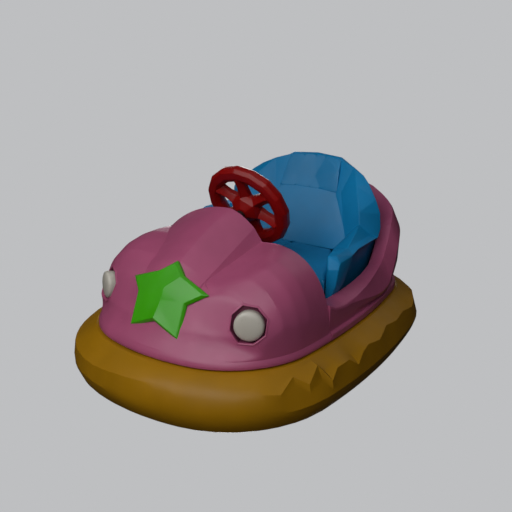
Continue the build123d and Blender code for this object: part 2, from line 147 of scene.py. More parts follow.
def painted(name, col, rough=0.38, coat=0.0, wear=0.10, peel=0.05, spec=0.5):
    """Moulded or painted surface: slight cloudiness, orange peel, faint scuffs."""
    m = Mat(name, rough)
    m.b.inputs["Coat Weight"].default_value = coat
    m.b.inputs["Specular IOR Level"].default_value = spec
    m.b.inputs["Coat Roughness"].default_value = 0.25
    cloud = m.noise(6.0, 2.0)
    tone = m.ramp(cloud, [(0.3, tint(col, 1 - wear)), (0.7, tint(col, 1 + wear * 0.6))])
    scuff = m.noise(55.0, 5.0, 0.7, (1, 1, 2.5))
    mask = m.maprange(scuff, 0.66, 0.74, 0.0, 0.22)
    grey = tuple(0.55 * x + 0.06 for x in col)
    m.color(m.mix(mask, tone, grey))
    m.rough(m.maprange(m.noise(18.0, 4.0), 0.3, 0.7, rough - 0.05, rough + 0.07))
    m.bump(m.noise(420.0, 2.0), peel, 0.0006)
    return m.m


M = {}
M["pink"] = painted("pink_gelcoat", PINK)
M["ochre"] = painted("ochre_rubber", tint(OCHRE, 1.05), 0.42, spec=0.28)
M["blue"] = painted("blue_vinyl", BLUE, 0.40)
M["blue_tub"] = painted("blue_moulding", tint(BLUE, 1.05), 0.46, spec=0.22)
M["red"] = painted("red_paint", tint(RED, 1.28), 0.34, spec=0.30)
M["green"] = painted("green_plastic", GREEN, 0.33, spec=0.62)
M["lens"] = painted("lens_plastic", LENS, 0.30)
M["steel"] = painted("dark_steel", (0.08, 0.085, 0.09), 0.5)
# the lamp cup's pink is darkened to 0.45 of itself: painted shade for the recess wall
M["painted_shade_recess"] = painted("pink_painted_shade_recess", tint(PINK, 0.45), 0.4)


# ------------------------------------------------------------------ meshes
def new_obj(name, verts, faces, mat, body, replaces=(), angle=30.0, flip=False):
    """A smooth-shaded mesh (metres) whose edges sharper than angle stay sharp."""
    me = bpy.data.meshes.new(name)
    me.from_pydata([tuple(v) for v in verts], [], faces)
    me.validate()
    bm = bmesh.new()
    bm.from_mesh(me)
    bmesh.ops.remove_doubles(bm, verts=bm.verts, dist=1e-6)
    bmesh.ops.recalc_face_normals(bm, faces=bm.faces)
    if flip:
        bmesh.ops.reverse_faces(bm, faces=bm.faces)
    bm.to_mesh(me)
    bm.free()
    o = bpy.data.objects.new(name, me)
    S.collection.objects.link(o)
    me.materials.append(M[mat] if isinstance(mat, str) else mat)
    smooth(me, angle)
    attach(o, body)
    if replaces:
        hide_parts(*replaces)
    return o


def smooth(me, angle):
    me.polygons.foreach_set("use_smooth", [True] * len(me.polygons))
    me.set_sharp_from_angle(angle=math.radians(angle))


def bake_mods(o):
    """Applies an object's modifiers to its mesh."""
    dg = bpy.context.evaluated_depsgraph_get()
    me = bpy.data.meshes.new_from_object(o.evaluated_get(dg))
    old = o.data
    o.modifiers.clear()
    o.data = me
    bpy.data.meshes.remove(old)


def grid_faces(rows, cols, close_rows=False, close_cols=False, start=0):
    f = []
    for i in range(rows - (0 if close_rows else 1)):
        for j in range(cols - (0 if close_cols else 1)):
            a, b = i * cols + j, i * cols + (j + 1) % cols
            c, d = ((i + 1) % rows) * cols + (j + 1) % cols, ((i + 1) % rows) * cols + j
            f.append((start + a, start + b, start + c, start + d))
    return f


# ------------------------------------------------------------------ plan curve
# centre, radius and bearing range of the bumper centreline's tangent arcs, left half
ARCS = [((-157.0, 0.0), 807.0, 0.0, 12.57), ((290.7, 99.9), 348.25, 12.57, 85.06),
        ((99.9, -2108.1), 2564.5, 85.06, 101.39), ((-346.7, 108.6), 303.3, 101.39, 180.0)]
HALF = sum(R * math.radians(b - a) for _, R, a, b in ARCS) + 108.6


def plan(s, inset=0.0):
    """Point (x, y) at arc length s from the nose, moved inward; negative s is the right side."""
    side, k = (1.0 if s >= 0 else -1.0), abs(s)
    if k > HALF:
        side, k = -side, 2 * HALF - k
    for (cx, cy), R, a, b in ARCS:
        L = R * math.radians(b - a)
        if k <= L:
            t = math.radians(a) + k / R
            return cx + (R - inset) * math.cos(t), side * (cy + (R - inset) * math.sin(t))
        k -= L
    return -650.0 + inset, side * (108.6 - k)


def s_at_x(x, inset=0.0):
    """Arc length where the left side passes x."""
    lo, hi = 300.0, 1500.0
    for _ in range(50):
        m = (lo + hi) / 2
        lo, hi = (m, hi) if plan(m, inset)[0] > x else (lo, m)
    return lo


def plan_inset(x, y):
    y = np.abs(y)
    ang = lambda c: np.degrees(np.arctan2(y - c[1], x - c[0]))
    d = [R - np.hypot(x - c[0], y - c[1]) for c, R, _, _ in ARCS]
    a2, a3 = ang(ARCS[1][0]), ang(ARCS[2][0])
    out = np.where(y >= 108.6, d[3], x + 650.0)
    out = np.where((a3 >= 85.06) & (a3 <= 101.39), d[2], out)
    out = np.where((a2 >= 12.57) & (a2 <= 85.06), d[1], out)
    return np.where((ang(ARCS[0][0]) <= 12.57) & (x > 290.0), d[0], out)


PAINT = {"nose_star": "green", "headlight_bezel_left": "pink", "headlight_bezel_right": "pink", "headlight_lens_left": "lens", "headlight_lens_right": "lens",
         "seat_shell": "blue", "seat_arm_left": "blue", "seat_arm_right": "blue", "seat_cushion": "blue", "seat_back_pad": "blue", "headrest_pad": "blue",
         "steering_wheel_rim": "red", "steering_wheel_spokes": "red", "steering_hub_cap": "red", "bumper_tube": "ochre", "front_hood": "pink", "rear_shell": "pink"}
for n, o in NODES.items():
    o.data.materials.clear()
    o.data.materials.append(M[PAINT.get(n, "steel")])

# ------------------------------------------------------------------ hood
def smin(a, b, k):
    h = np.clip(0.5 + 0.5 * (b - a) / k, 0, 1)
    return b * (1 - h) + a * h - k * h * (1 - h)


def smax(a, b, k):
    return -smin(-a, -b, k)


CROWN_X = [177.0, 250.0, 320.0, 390.0, 430.0, 455.0, 482.0, 520.0, 560.0, 650.0]
CROWN_H = [413.0, 384.0, 352.0, 318.0, 295.0, 279.0, 252.0, 210.0, 160.0, 60.0]
CROWN_WR = [421.0, 402.0, 372.0, 338.0, 314.0, 300.0, 294.0, 290.0, 288.0, 300.0]
FEND_X = [177.0, 240.0, 300.0, 360.0, 420.0, 470.0, 520.0, 580.0, 650.0]
FEND_H = [313.0, 315.0, 310.0, 296.0, 270.0, 232.0, 190.0, 135.0, 60.0]
FEND_W = [252.0, 254.0, 255.0, 247.0, 234.0, 206.0, 170.0, 130.0, 94.0]
FEND_P = [2.4, 2.45, 2.6, 2.7, 2.6, 2.4, 2.3, 2.3, 2.3]
NOSE = [(200.0, 618.0), (262.0, 612.0), (285.0, 606.0), (307.0, 597.0), (345.0, 586.0), (435.0, 528.0), (526.0, 468.0), (700.0, 350.0)]
Z0 = 249.0


def hood_f(P, ids=False):
    """Below zero inside the hood; about millimetres. With ids, which surface lies outermost there."""
    x, y, z = P[..., 0], P[..., 1], P[..., 2]
    ay, h = np.abs(y), z - Z0
    H = np.interp(x, CROWN_X, CROWN_H)
    # the left flank drops off a crease that runs forward and down
    cy, ch = 116.0 + (x - 177.0) * 0.00656, 356.0 - (x - 177.0) * 0.4295
    ch = np.maximum(ch, 0.5 * H)
    W = np.interp(x, CROWN_X, CROWN_WR)
    right = (np.sqrt((ay / W) ** 2 + (h / H) ** 2) - 1) * 0.6 * np.minimum(H, W)
    left = (h - H + (H - ch) * np.clip(ay / cy, 0, 3) ** np.interp(x, [177.0, 270.0], [1.7, 1.3])) * 0.75
    crown = np.where(y < 0, right, left)
    flank = (x - 177.0) * 0.249 + (ay - 150.0) * 0.766 + (z - 561.0) * 0.592
    on_flank = (x < 512.0) & (y > cy)
    crown = np.where(on_flank, flank, crown)
    FH, FW, p = (np.interp(x, FEND_X, t) for t in (FEND_H, FEND_W, FEND_P))
    fy = np.interp(x, [177.0, 500.0, 560.0, 620.0], [192.0, 192.0, 170.0, 120.0])
    q = np.abs(ay - fy) / FW
    q = np.where(ay < fy, q * 0.55, q)
    fend = ((q ** p + (np.abs(h) / FH) ** p) ** (1 / p) - 1) * 0.6 * np.minimum(FH, FW)
    slope = (x - 177.0) * 0.2535 - (ay - 150.0) * 0.1722 + (z - 561.0) * 0.952
    inner = (x < 512.0) & (y > 0)
    kind = np.where(inner & (slope > fend), 4, 3)
    fend = np.where(inner, smax(fend, slope, 10.0), fend)
    kind = np.where(crown < fend, np.where(on_flank, 2, 1), kind)
    f = smin(crown, fend, 1.5)
    c = 0.00033 + np.clip(461.0 - z, 0, 200) * 0.0000028
    nose = (x - (np.interp(z, *zip(*NOSE)) - c * y * y)) * 0.8
    kind = np.where(nose > f, 5, kind)
    f = smax(f, nose, 4.0)
    inset = plan_inset(x, y)
    skirt = smax(8.0 + (z - 273.0) * 1.25 - inset, z - 330.0, 2.0) * 0.62
    kind = np.where(skirt < f, 6, kind)
    f = smin(f, skirt, np.interp(x, [455.0, 560.0], [7.0, 46.0]))
    return kind if ids else smax(f, 8.0 - inset, 3.0)


def cast(origin, direc, tmax=560.0, steps=120):
    """Outermost crossing of hood_f along each ray."""
    t = np.linspace(tmax, 0.0, steps)
    P = origin[:, None, :] + t[None, :, None] * direc[:, None, :]
    F = hood_f(P)
    inside = F <= 0
    i = np.argmax(inside, axis=1)
    i = np.clip(i, 1, steps - 1)
    hi, lo = t[i - 1], t[i]
    for _ in range(16):
        m = (hi + lo) / 2
        g = hood_f(origin + m[:, None] * direc)
        lo, hi = np.where(g <= 0, m, lo), np.where(g <= 0, hi, m)
    return origin + lo[:, None] * direc


ROWS = (9, 20, 14, 12, 10, 34)      # rows between the creases, from the skirt up to the crown


def hood_mesh(nf=64, ns=26):
    """Columns fan out from the middle; rows follow the creases between the lobes."""
    x0 = 400.0
    s_side = s_at_x(178.0, 15.0)
    s_mid = s_at_x(x0, 15.0)
    svals = list(np.linspace(0.0, s_mid, nf)) + list(np.linspace(s_mid, s_side, ns))[1:]
    svals = [-s for s in svals[::-1]] + svals[1:]
    O, D, top = [], [], math.pi / 2
    cols = []
    for s in svals:
        bx, by = plan(s, 15.0)
        ox = min(bx, x0)
        d = np.array([bx - ox, by])
        L = np.hypot(*d)
        d = d / L
        e0 = math.atan2(273.5 - Z0, L)

        def at(e):
            e = np.asarray(e, float)
            o = np.tile((ox, 0.0, Z0), (len(e), 1))
            return cast(o, np.stack([d[0] * np.cos(e), d[1] * np.cos(e), np.sin(e)], 1))

        es = np.linspace(e0, top - 0.002, 130)
        ids = hood_f(at(es), True)
        turn = []
        for k in np.nonzero(np.diff(ids))[0]:
            lo, hi = es[k], es[k + 1]
            fine = np.linspace(lo, hi, 17)
            q = hood_f(at(fine), True)
            m = int(np.nonzero(np.diff(q))[0][0])
            turn.append(((fine[m] + fine[m + 1]) / 2, ids[k], ids[k + 1]))
        mark = [None] * 5
        for e, a, b in turn:
            if e < math.radians(20) and b in (3, 5) and a == 6:
                mark[0] = e
            elif a == 5 and b in (2, 3, 4):
                for q in {3: (1,), 4: (1, 2), 2: (1, 2, 3)}[int(b)]:
                    mark[q] = e
            elif a == 3 and b == 4:
                mark[2] = e
            elif a == 4 and b == 2:
                mark[3] = e
            elif b == 1:
                mark[4] = e
        if mark[0] is None or mark[0] - e0 < math.radians(1.5):
            mark[0] = e0 + math.radians(1.6 + 7.4 * min(1.0, max(0.0, (abs(s) - 396.0) / 120.0)))
        if mark[1] is not None and mark[1] < mark[0] + math.radians(1.0):
            mark[1] = None
        cols.append((s, ox, d, e0, mark))
    for side in (1, -1):
        hit = [abs(c[0]) for c in cols if c[0] * side > 0 and c[4][1] is not None]
        for s, ox, d, e0, mark in cols:
            if s * side < 0 or mark[1] is not None:
                continue
            if abs(s) < min(hit):       # nothing but the nose under the crown
                g = min(1.0, max(0.1, (min(hit) - abs(s)) / 160.0))
                mark[1:4] = [mark[4] - math.radians(q * g) for q in (8.5, 5.5, 2.5)]
            elif abs(s) > max(hit):     # past the end of the nose
                n = next((q for q in mark[2:] if q is not None), top)
                mark[1] = mark[0] + min(0.5, 0.04 + (abs(s) - max(hit)) / 300.0) * (n - mark[0])
    for s, ox, d, e0, mark in cols:
        known = [e0] + mark + [top]
        for k in range(1, 6):
            if known[k] is None:
                n = next(q for q in range(k, 7) if known[q] is not None)
                known[k] = known[k - 1] + (known[n] - known[k - 1]) / (n - k + 1)
        known = np.maximum.accumulate(known)
        el = [e0]
        for k, n in enumerate(ROWS):
            el += list(np.linspace(known[k], known[k + 1], n + 1))[1:]
        O += [(ox, 0.0, Z0)] * len(el)
        D += [(d[0] * math.cos(e), d[1] * math.cos(e), math.sin(e)) for e in el]
    rows = sum(ROWS) + 1
    P = cast(np.array(O), np.array(D)).reshape(len(svals), rows, 3)
    lip = []
    for s in svals:
        lip.append([(*plan(s, i), z) for i, z in ((23.0, 246.8), (3.0, 246.8), (0.0, 250.0), (0.0, 257.0), (1.5, 262.5), (4.5, 268.5))])
    V = np.concatenate([np.array(lip), P], axis=1)
    n, r = V.shape[:2]
    return V.reshape(-1, 3) * MM, grid_faces(n, r)


hv, hf = hood_mesh()
hood = new_obj("hood_shell", hv, hf, "pink", "car_body", ("front_hood",), 14.0)
print("hood verts", len(hood.data.vertices))

# ------------------------------------------------------------------ rear shell
# arc length: rim's outer edge (inset, z), inner edge (inset, z)
RIM = [(720, 19, 396, 79, 377), (743, 18, 386, 79, 372), (808, 19, 357, 79, 365), (870, 19, 347, 80, 361), (968, 18, 346, 78, 363),
       (1063, 19, 358, 77, 366), (1140, 22, 372, 77, 371), (1199, 25, 385, 78, 377), (1240, 27, 394, 79, 384), (1267, 28, 406, 79, 396),
       (1300, 28, 438, 79, 426), (1331, 28, 472, 79, 460), (1366, 28, 524, 79, 508), (1395, 28, 549, 80, 520), (1430, 28, 565, 80, 528),
       (1488, 30, 580, 80, 538), (1570, 30, 598, 78, 556), (1640, 30, 618, 74, 580), (1676, 30, 631, 70, 600), (1760, 30, 648, 66, 626), (1873.3, 30, 660, 64, 648)]
RIM_A = np.array(RIM, float)


def rim_at(s):
    return [float(np.interp(abs(s), RIM_A[:, 0], RIM_A[:, k])) for k in range(1, 5)]


def rear_shell_mesh(nc=150):
    s0 = s_at_x(175.0)
    svals = list(np.linspace(s0, HALF, nc))
    svals = svals + [-s for s in svals[::-1]][1:]
    V = []
    for s in svals:
        k = abs(s)
        xo, zo, xi, zi = rim_at(s)
        w = min(1.0, max(0.0, (k - 900.0) / 350.0))
        w = w * w * (3 - 2 * w)
        mix = lambda a, b: a + (b - a) * w
        zb = zo - mix(10.0, float(np.interp(k, [1300, 1640, 1700], [85.0, 70.0, 34.0])))
        belly = float(np.interp(k, [1250, 1600, 1873], [-9.0, -6.0, 2.0]))
        prof = [(23.0, 246.8), (3.0, 246.8), (0.0, 250.0), (0.0, 268.5), (2.5, 272.5), (13.0, 273.5), (15.0, 276.0),
                (mix(14.0, 8.0), mix(290.0, 312.0)), (mix(13.0, -4.0), 274.0 + 0.5 * (zb - 274.0)), (mix(12.5, belly), zb),
                (mix(15.0, float(np.interp(k, [1640, 1700], [21.0, 5.0]))), zo - mix(3.0, float(np.interp(k, [1640, 1700], [12.0, 15.0])))), (xo, zo), (xi, zi),
                (xi + 5.0, zi - 16.0), (xi + 6.0, 0.5 * (zi - 16.0) + 0.5 * 256.0), (xi + 6.0, 256.0), (30.0, 254.0)]
        V.append([(*plan(s, i), z) for i, z in prof])
    V = np.array(V)
    n, r = V.shape[:2]
    faces = grid_faces(n, r, close_cols=True)
    faces.append(tuple(range(r))[::-1])
    faces.append(tuple((n - 1) * r + k for k in range(r)))
    return V.reshape(-1, 3) * MM, faces


sv, sf = rear_shell_mesh()
shell = new_obj("rear_body_shell", sv, sf, "pink", "car_body", ("rear_shell",), 13.0)

# ------------------------------------------------------------------ bumper
# crease row: arc length, angle round the tube (0 outboard, 90 up), crispness
CREASE = [(-1873, 34, 1), (-1700, 46, 1), (-1560, 28, 1), (-1430, 44, 1), (-1300, 30, 1), (-1190, 42, 1), (-1080, 24, 1), (-1010, 44, 1),
          (-900, 30, 1), (-820, 40, 1), (-700, 26, 1), (-610, 42, 1), (-520, 30, 1), (-440, 27, 1), (-360, 24, 1), (-290, 25, 1), (-161, 26, 1), (-73, 31, .9),
          (-7, 34, .7), (45, 36, .5), (150, 42, .25), (181, 37, .25), (286, 38, .2), (338, 35, .25), (397, 35, .35), (456, 29, .8),
          (507, 57, 1), (546, 33, 1), (606, 60, 1), (632, 20, 1), (678, 37, 1), (752, 37, 1), (790, 18, 1), (838, 33, 1), (890, 40, 1),
          (971, 32, 1), (1061, 46, 1), (1150, 38, 1), (1240, 41, 1), (1342, 29, 1), (1430, 40, 1), (1530, 30, 1), (1640, 44, 1), (1760, 32, 1), (1873, 34, 1)]
CR = np.array(CREASE, float)
TZ = 143.0


def bumper_mesh():
    st = sorted(set([float(c[0]) for c in CREASE[1:]]) | set([105.0, 230.0, -225.0, -110.0, 1295.0, 1385.0, 1480.0, 1590.0, 1700.0, 1815.0, 720.0, 1015.0, 1105.0,
                                                              -1625.0, -1490.0, -1360.0, -1245.0, -1130.0, -950.0, -860.0, -760.0, -655.0, -565.0, -480.0, -400.0, 420.0]))
    st = [s for s in st if -1873 < s <= 1873]
    cols = []
    rng = np.random.default_rng(7)
    for s in st:
        pc = float(np.interp(s, CR[:, 0], CR[:, 1]))
        w = float(np.interp(s, CR[:, 0], CR[:, 2]))
        hi, lo = 84.0, -8.0
        pt = lambda a, R: (-R * math.cos(math.radians(a)), TZ + R * math.sin(math.radians(a)))
        R0 = 99.5
        key = [(hi, 100.5), (pc, R0 + 1.0 * w), (lo, 100.4), (-45.0, 106.0), (-84.0, 101.5)]
        ring = []
        for (a0, r0), (a1, r1), n in ((key[0], key[1], 4), (key[1], key[2], 4), (key[2], key[3], 3), (key[3], key[4], 3)):
            p0, p1 = pt(a0, r0), pt(a1, r1)
            ww = w if n == 4 else 0.35 * w
            for k in range(n):
                t = k / n
                arc = pt(a0 + (a1 - a0) * t, r0 + (r1 - r0) * t)
                ch = (p0[0] + (p1[0] - p0[0]) * t, p0[1] + (p1[1] - p0[1]) * t)
                ring.append((arc[0] * (1 - ww) + ch[0] * ww, arc[1] * (1 - ww) + ch[1] * ww))
        ring += [pt(-84.0, 101.5), pt(-118.0, 99.0), pt(-142.0, 98.0), pt(142.0, 100.0), pt(118.0, 101.0), pt(100.0, 101.0)]
        cols.append([(*plan(s, i), z) for i, z in ring])
    V = np.array(cols)
    n, r = V.shape[:2]
    return V.reshape(-1, 3) * MM, grid_faces(n, r, close_rows=True, close_cols=True)


bv, bf = bumper_mesh()
bumper = new_obj("bumper_ring", bv, bf, "ochre", "car_body", ("bumper_tube",), 22.0)

# ------------------------------------------------------------------ nose star
# outline of the raised face, left half then mirrored: tip, notch, side tip, notch, low tip, low notch
STAR = [(473.0, 0.0, 538.0), (502.2, 54.7, 501.8), (514.1, 173.0, 460.5), (549.5, 104.5, 421.2), (604.8, 115.0, 308.1),
        (601.0, 0.0, 358.0), (604.8, -115.0, 308.1), (549.5, -119.5, 421.2), (514.1, -173.0, 460.5), (502.2, -54.7, 501.8)]
STAR_N = Vector((0.861, 0.0, 0.495)).normalized()


def star_mesh():
    out = [Vector(p) for p in STAR]
    n = len(out)
    lean = [STAR_N + Vector((0.0, 0.118 * (1 if p.y > 1 else -1 if p.y < -1 else 0), 0.0)) for p in out]
    lean = [v.normalized() for v in lean]
    cen = sum(out, Vector()) / n
    inner = []
    for k, p in enumerate(out):
        a, b = out[k - 1], out[(k + 1) % n]
        e1, e2 = (a - p).normalized(), (b - p).normalized()
        bis = (e1 + e2)
        bis = bis.normalized() if bis.length > 1e-3 else Vector((0, 0, 1))
        conv = bis.dot(cen - p) > 0
        half = 0.5 * e1.angle(e2)
        w = 9.5 / max(0.45, math.sin(half))
        q = p + bis * (w if conv else -w * 0.8)
        inner.append(q)
    verts, faces = [], []
    verts += [p - lean[k] * 34.0 for k, p in enumerate(out)]
    verts += [p - lean[k] * 8.0 for k, p in enumerate(out)]
    verts += [p + lean[k] * 1.0 for k, p in enumerate(inner)]
    for ring in (0, 1):
        for k in range(n):
            m = (k + 1) % n
            faces.append((ring * n + k, ring * n + m, (ring + 1) * n + m, (ring + 1) * n + k))
    faces.append(tuple(range(n))[::-1])
    b = 2 * n
    # raised face, folded from the left upper notch to the middle and down to the bottom notch
    c1 = len(verts)
    verts.append(Vector((541.8, 2.9, 459.8)))
    c2 = len(verts)
    verts.append(Vector((563.3, 4.9, 421.8)))
    o = [b + k for k in range(n)]
    faces += [(o[1], o[2], c1), (o[2], o[3], c1), (o[3], c2, c1), (o[3], o[4], c2), (o[4], o[5], c2),
              (o[0], o[1], c1), (o[9], o[0], c1), (o[8], o[9], c1), (o[7], o[8], c1), (c2, o[7], c1), (o[6], o[7], c2), (o[5], o[6], c2)]
    fold = [verts[k] * MM for k in (o[1], c1, c2, o[5])]
    return [tuple(v * MM) for v in verts], faces, fold


tv, tf, fold = star_mesh()
star = new_obj("nose_star_plate", tv, tf, "green", "car_body", ("nose_star",), 20.0)
bev = star.modifiers.new("bevel", 'BEVEL')
bev.width, bev.segments, bev.limit_method, bev.angle_limit = 0.0018, 2, 'ANGLE', math.radians(22)
bake_mods(star)
for e in star.data.edges:
    a, b = (star.data.vertices[k].co for k in e.vertices)
    if all(min((q - f).length for f in fold) < 0.004 for q in (a, b)) and (a - b).length > 0.02:
        e.use_edge_sharp = True


# ------------------------------------------------------------------ headlights
def lamp_frame(side):
    c = Vector((501.0, 328.0 * side, 386.0))
    d = Vector((math.cos(math.radians(28)) * math.cos(math.radians(4)), side * math.sin(math.radians(28)) * math.cos(math.radians(4)), math.sin(math.radians(4))))
    u = Vector((0, 0, 1)).cross(d).normalized()
    return c, d, u, d.cross(u)


def ring_mesh(side, profile, n, spin=0.0, cap_first=False, cap_last=False, wob=None):
    """Turned shape round a lamp's axis: profile of (radius, depth)."""
    c, d, u, v = lamp_frame(side)
    V = []
    for r, t in profile:
        for k in range(n):
            a = 2 * math.pi * (k + spin) / n
            rr = r * (1.0 if wob is None else wob[k])
            V.append((c + d * t + u * (rr * math.cos(a)) + v * (rr * math.sin(a))) * MM)
    f = grid_faces(len(profile), n, close_cols=True)
    if cap_first:
        f.append(tuple(range(n))[::-1])
    if cap_last:
        f.append(tuple((len(profile) - 1) * n + k for k in range(n)))
    return V, f


def cut(target, cutter):
    b = target.modifiers.new("cut", 'BOOLEAN')
    b.operation, b.solver, b.object = 'DIFFERENCE', 'MANIFOLD', cutter
    bake_mods(target)
    bpy.data.objects.remove(cutter)
    bm = bmesh.new()
    bm.from_mesh(target.data)
    bmesh.ops.dissolve_verts(bm, verts=[v for v in bm.verts if len(v.link_edges) == 2])
    bm.to_mesh(target.data)
    bm.free()


def plain(name, V, F):
    me = bpy.data.meshes.new(name)
    me.from_pydata([tuple(v) for v in V], [], F)
    bm = bmesh.new()
    bm.from_mesh(me)
    bmesh.ops.recalc_face_normals(bm, faces=bm.faces)
    bm.to_mesh(me)
    bm.free()
    o = bpy.data.objects.new(name, me)
    S.collection.objects.link(o)
    return o


sol = hood.modifiers.new("skin", 'SOLIDIFY')
sol.thickness, sol.offset, sol.use_rim, sol.use_quality_normals = 0.008, -1.0, True, True
bake_mods(hood)
OCT = [1.02, 0.98, 1.03, 0.99, 1.0, 1.03, 0.97, 1.01]


def oct_ring(side, r, sub=4):
    """Points round an uneven octagon in the lamp's own plane, sub to an edge."""
    c, d, u, v = lamp_frame(side)
    P = []
    for k in range(8):
        a, b = (2 * math.pi * (q + 0.4) / 8 for q in (k, k + 1))
        p0 = Vector((r * OCT[k] * math.cos(a), r * OCT[k] * math.sin(a)))
        p1 = Vector((r * OCT[(k + 1) % 8] * math.cos(b), r * OCT[(k + 1) % 8] * math.sin(b)))
        P += [p0.lerp(p1, q / sub) for q in range(sub)]
    return [c + u * p.x + v * p.y for p in P], d


def skin_depth(pts, d, reach=70.0):
    """How far along d each point is from the hood's outer face."""
    O = np.array([tuple(p - d * reach) for p in pts])
    D = np.tile(np.array(tuple(d)), (len(pts), 1))
    H = cast(O, D, 2 * reach, 160)
    return [(Vector(h) - p).dot(d) for h, p in zip(H, pts)]


for side, nm in ((1, "left"), (-1, "right")):
    V, F = ring_mesh(side, [(63.0, -70.0), (63.0, 70.0)], 8, 0.4, True, True, OCT)
    cut(hood, plain("cutter", V, F))
    rings = []
    for r, skin, t in ((62.6, True, -9.0), (62.6, True, 1.0), (64.8, True, 2.6), (68.4, True, 1.8), (69.4, True, -0.6), (69.4, True, -9.0)):
        pts, d = oct_ring(side, r)
        dep = skin_depth(pts, d)
        rings.append([p + d * (q + t) for p, q in zip(pts, dep)])
    n = len(rings[0])
    V = [p * MM for ring in rings for p in ring]
    new_obj("headlight_rim_" + nm, V, grid_faces(6, n, close_rows=True, close_cols=True), "pink", "car_body", ("headlight_bezel_" + nm,), 25.0)
    pts, d = oct_ring(side, 62.9)
    dep = skin_depth(pts, d)
    rings = [[p + d * (q - 5.0) for p, q in zip(pts, dep)]]
    for r, t in ((61.5, -30.0), (54.0, -36.0), (20.0, -37.0)):
        pts, d = oct_ring(side, r)
        rings.append([p + d * t for p in pts])
    back = [[q - d * 3.0 + (q - lamp_frame(side)[0]).normalized() * 0.5 for q in ring] for ring in rings[::-1]]
    allr = rings + back
    V = [p * MM for ring in allr for p in ring]
    F = grid_faces(len(allr), n, close_rows=True, close_cols=True)
    # the cup is drawn in that darkened pink, painted shade inside the lamp recess
    new_obj("headlight_cup_" + nm, V, F, "painted_shade_recess", "car_body", (), 20.0)
    # the lens sits low and outboard in its octagonal hole
    c, d, u, v = lamp_frame(side)
    off = u * (3.0 * side) - v * 2.5
    prof = [(30.0, -40.0), (44.0, -38.0), (49.5, -30.0), (51.0, -6.0), (50.2, 0.0), (47.3, 4.5), (41.0, 7.5), (30.0, 10.0), (12.0, 11.5)]
    V, F = ring_mesh(side, prof, 40, 0.0, True, True)
    V = [q + off * MM for q in V]
    new_obj("headlight_glass_" + nm, V, F, "lens", "car_body", ("headlight_lens_" + nm,), 40.0)
smooth(hood.data, 14.0)
hood.data.materials.clear()
hood.data.materials.append(M["pink"])
# ------------------------------------------------------------------ steering wheel
HUB = Vector((54.6, 0.0, 646.8))
RK = math.radians(26.3)
W_N = Vector((-math.cos(RK), 0.0, math.sin(RK)))       # towards the driver
W_X = Vector((0.0, 1.0, 0.0))
W_Y = W_N.cross(W_X)


def wheel_pt(r, a, t):
    """Point at radius r, angle a (degrees) and t mm towards the driver, in metres."""
    a = math.radians(a)
    return (HUB + W_X * (r * math.cos(a)) + W_Y * (r * math.sin(a)) + W_N * t) * MM


def chamfer(o, width, seg=2, angle=18.0):
    b = o.modifiers.new("bevel", 'BEVEL')
    b.width, b.segments, b.limit_method, b.angle_limit = width, seg, 'ANGLE', math.radians(angle)
    b.harden_normals = False
    bake_mods(o)


# rim: sixteen straight lengths of an eight-sided bar, a little uneven like a hand-faced casting
RIM_SEC = [(28.5, -11.0), (17.5, -25.5), (-8.0, -28.0), (-25.0, -17.0), (-28.5, 5.0), (-17.0, 24.0), (9.0, 28.0), (25.0, 13.6)]
N_RIM = 16
rng = np.random.default_rng(7)
V = []
for k in range(N_RIM):
    a = 360.0 * k / N_RIM
    for j, (dr, dt) in enumerate(RIM_SEC):
        e = 1.0 + 0.035 * float(rng.standard_normal())
        e = min(1.04, max(0.94, e))
        grow = 1.0 / math.cos(math.pi / N_RIM) if dr > 0 else 1.0
        r = (151.0 + dr * e)
        r = min(r * (1.0 + (grow - 1.0) * 0.6), 180.6)
        V.append(wheel_pt(r, a + 0.8 * float(rng.standard_normal()), dt * e))
ring = new_obj("steering_wheel_ring", V, grid_faces(N_RIM, 8, close_rows=True, close_cols=True), "red", "steering_wheel", ("steering_wheel_rim",), 12.0)
chamfer(ring, 0.0022, 2, 8.0)
smooth(ring.data, 14.0)

# spider: six roof-backed arms running into a faceted boss
verts, faces = [], []


def tube_of(sections):
    """Joins sections (lists of points) into a closed bar."""
    s0, n = len(verts), len(sections[0])
    for sec in sections:
        verts.extend(sec)
    faces.extend(grid_faces(len(sections), n, close_cols=True, start=s0))
    faces.append(tuple(s0 + k for k in range(n))[::-1])
    faces.append(tuple(s0 + (len(sections) - 1) * n + k for k in range(n)))


ARM_SEC = [(0.0, -31.0), (24.0, -10.0), (24.5, 9.0), (0.0, 18.5), (-24.5, 9.0), (-24.0, -10.0)]
for i in range(6):
    a0 = 30.0 + 60.0 * i
    ca, sa = math.cos(math.radians(a0)), math.sin(math.radians(a0))
    d, n = W_X * ca + W_Y * sa, W_Y * ca - W_X * sa
    secs = []
    for r, kw, kt in ((14.0, 1.20, 1.20), (56.0, 1.05, 1.04), (88.0, 0.92, 0.86), (110.0, 1.0, 0.90), (136.0, 1.34, 0.98)):
        secs.append([(HUB + d * r + n * (w * kw) + W_N * (t * kt)) * MM for w, t in ARM_SEC])
    tube_of(secs)
boss = []
for t, rr, rm in ((-55.0, 25.0, 24.0), (-52.0, 29.0, 27.0), (-36.0, 56.0, 49.0), (-14.0, 69.0, 60.0), (8.0, 67.0, 58.0), (17.5, 52.0, 48.0)):
    boss.append([wheel_pt(rr if k % 2 == 0 else rm, 30.0 + 30.0 * k, t) for k in range(12)])
tube_of(boss)
spider = new_obj("steering_wheel_spider", verts, faces, "red", "steering_wheel", ("steering_wheel_spokes",), 12.0)
chamfer(spider, 0.0018, 2, 14.0)
smooth(spider.data, 16.0)

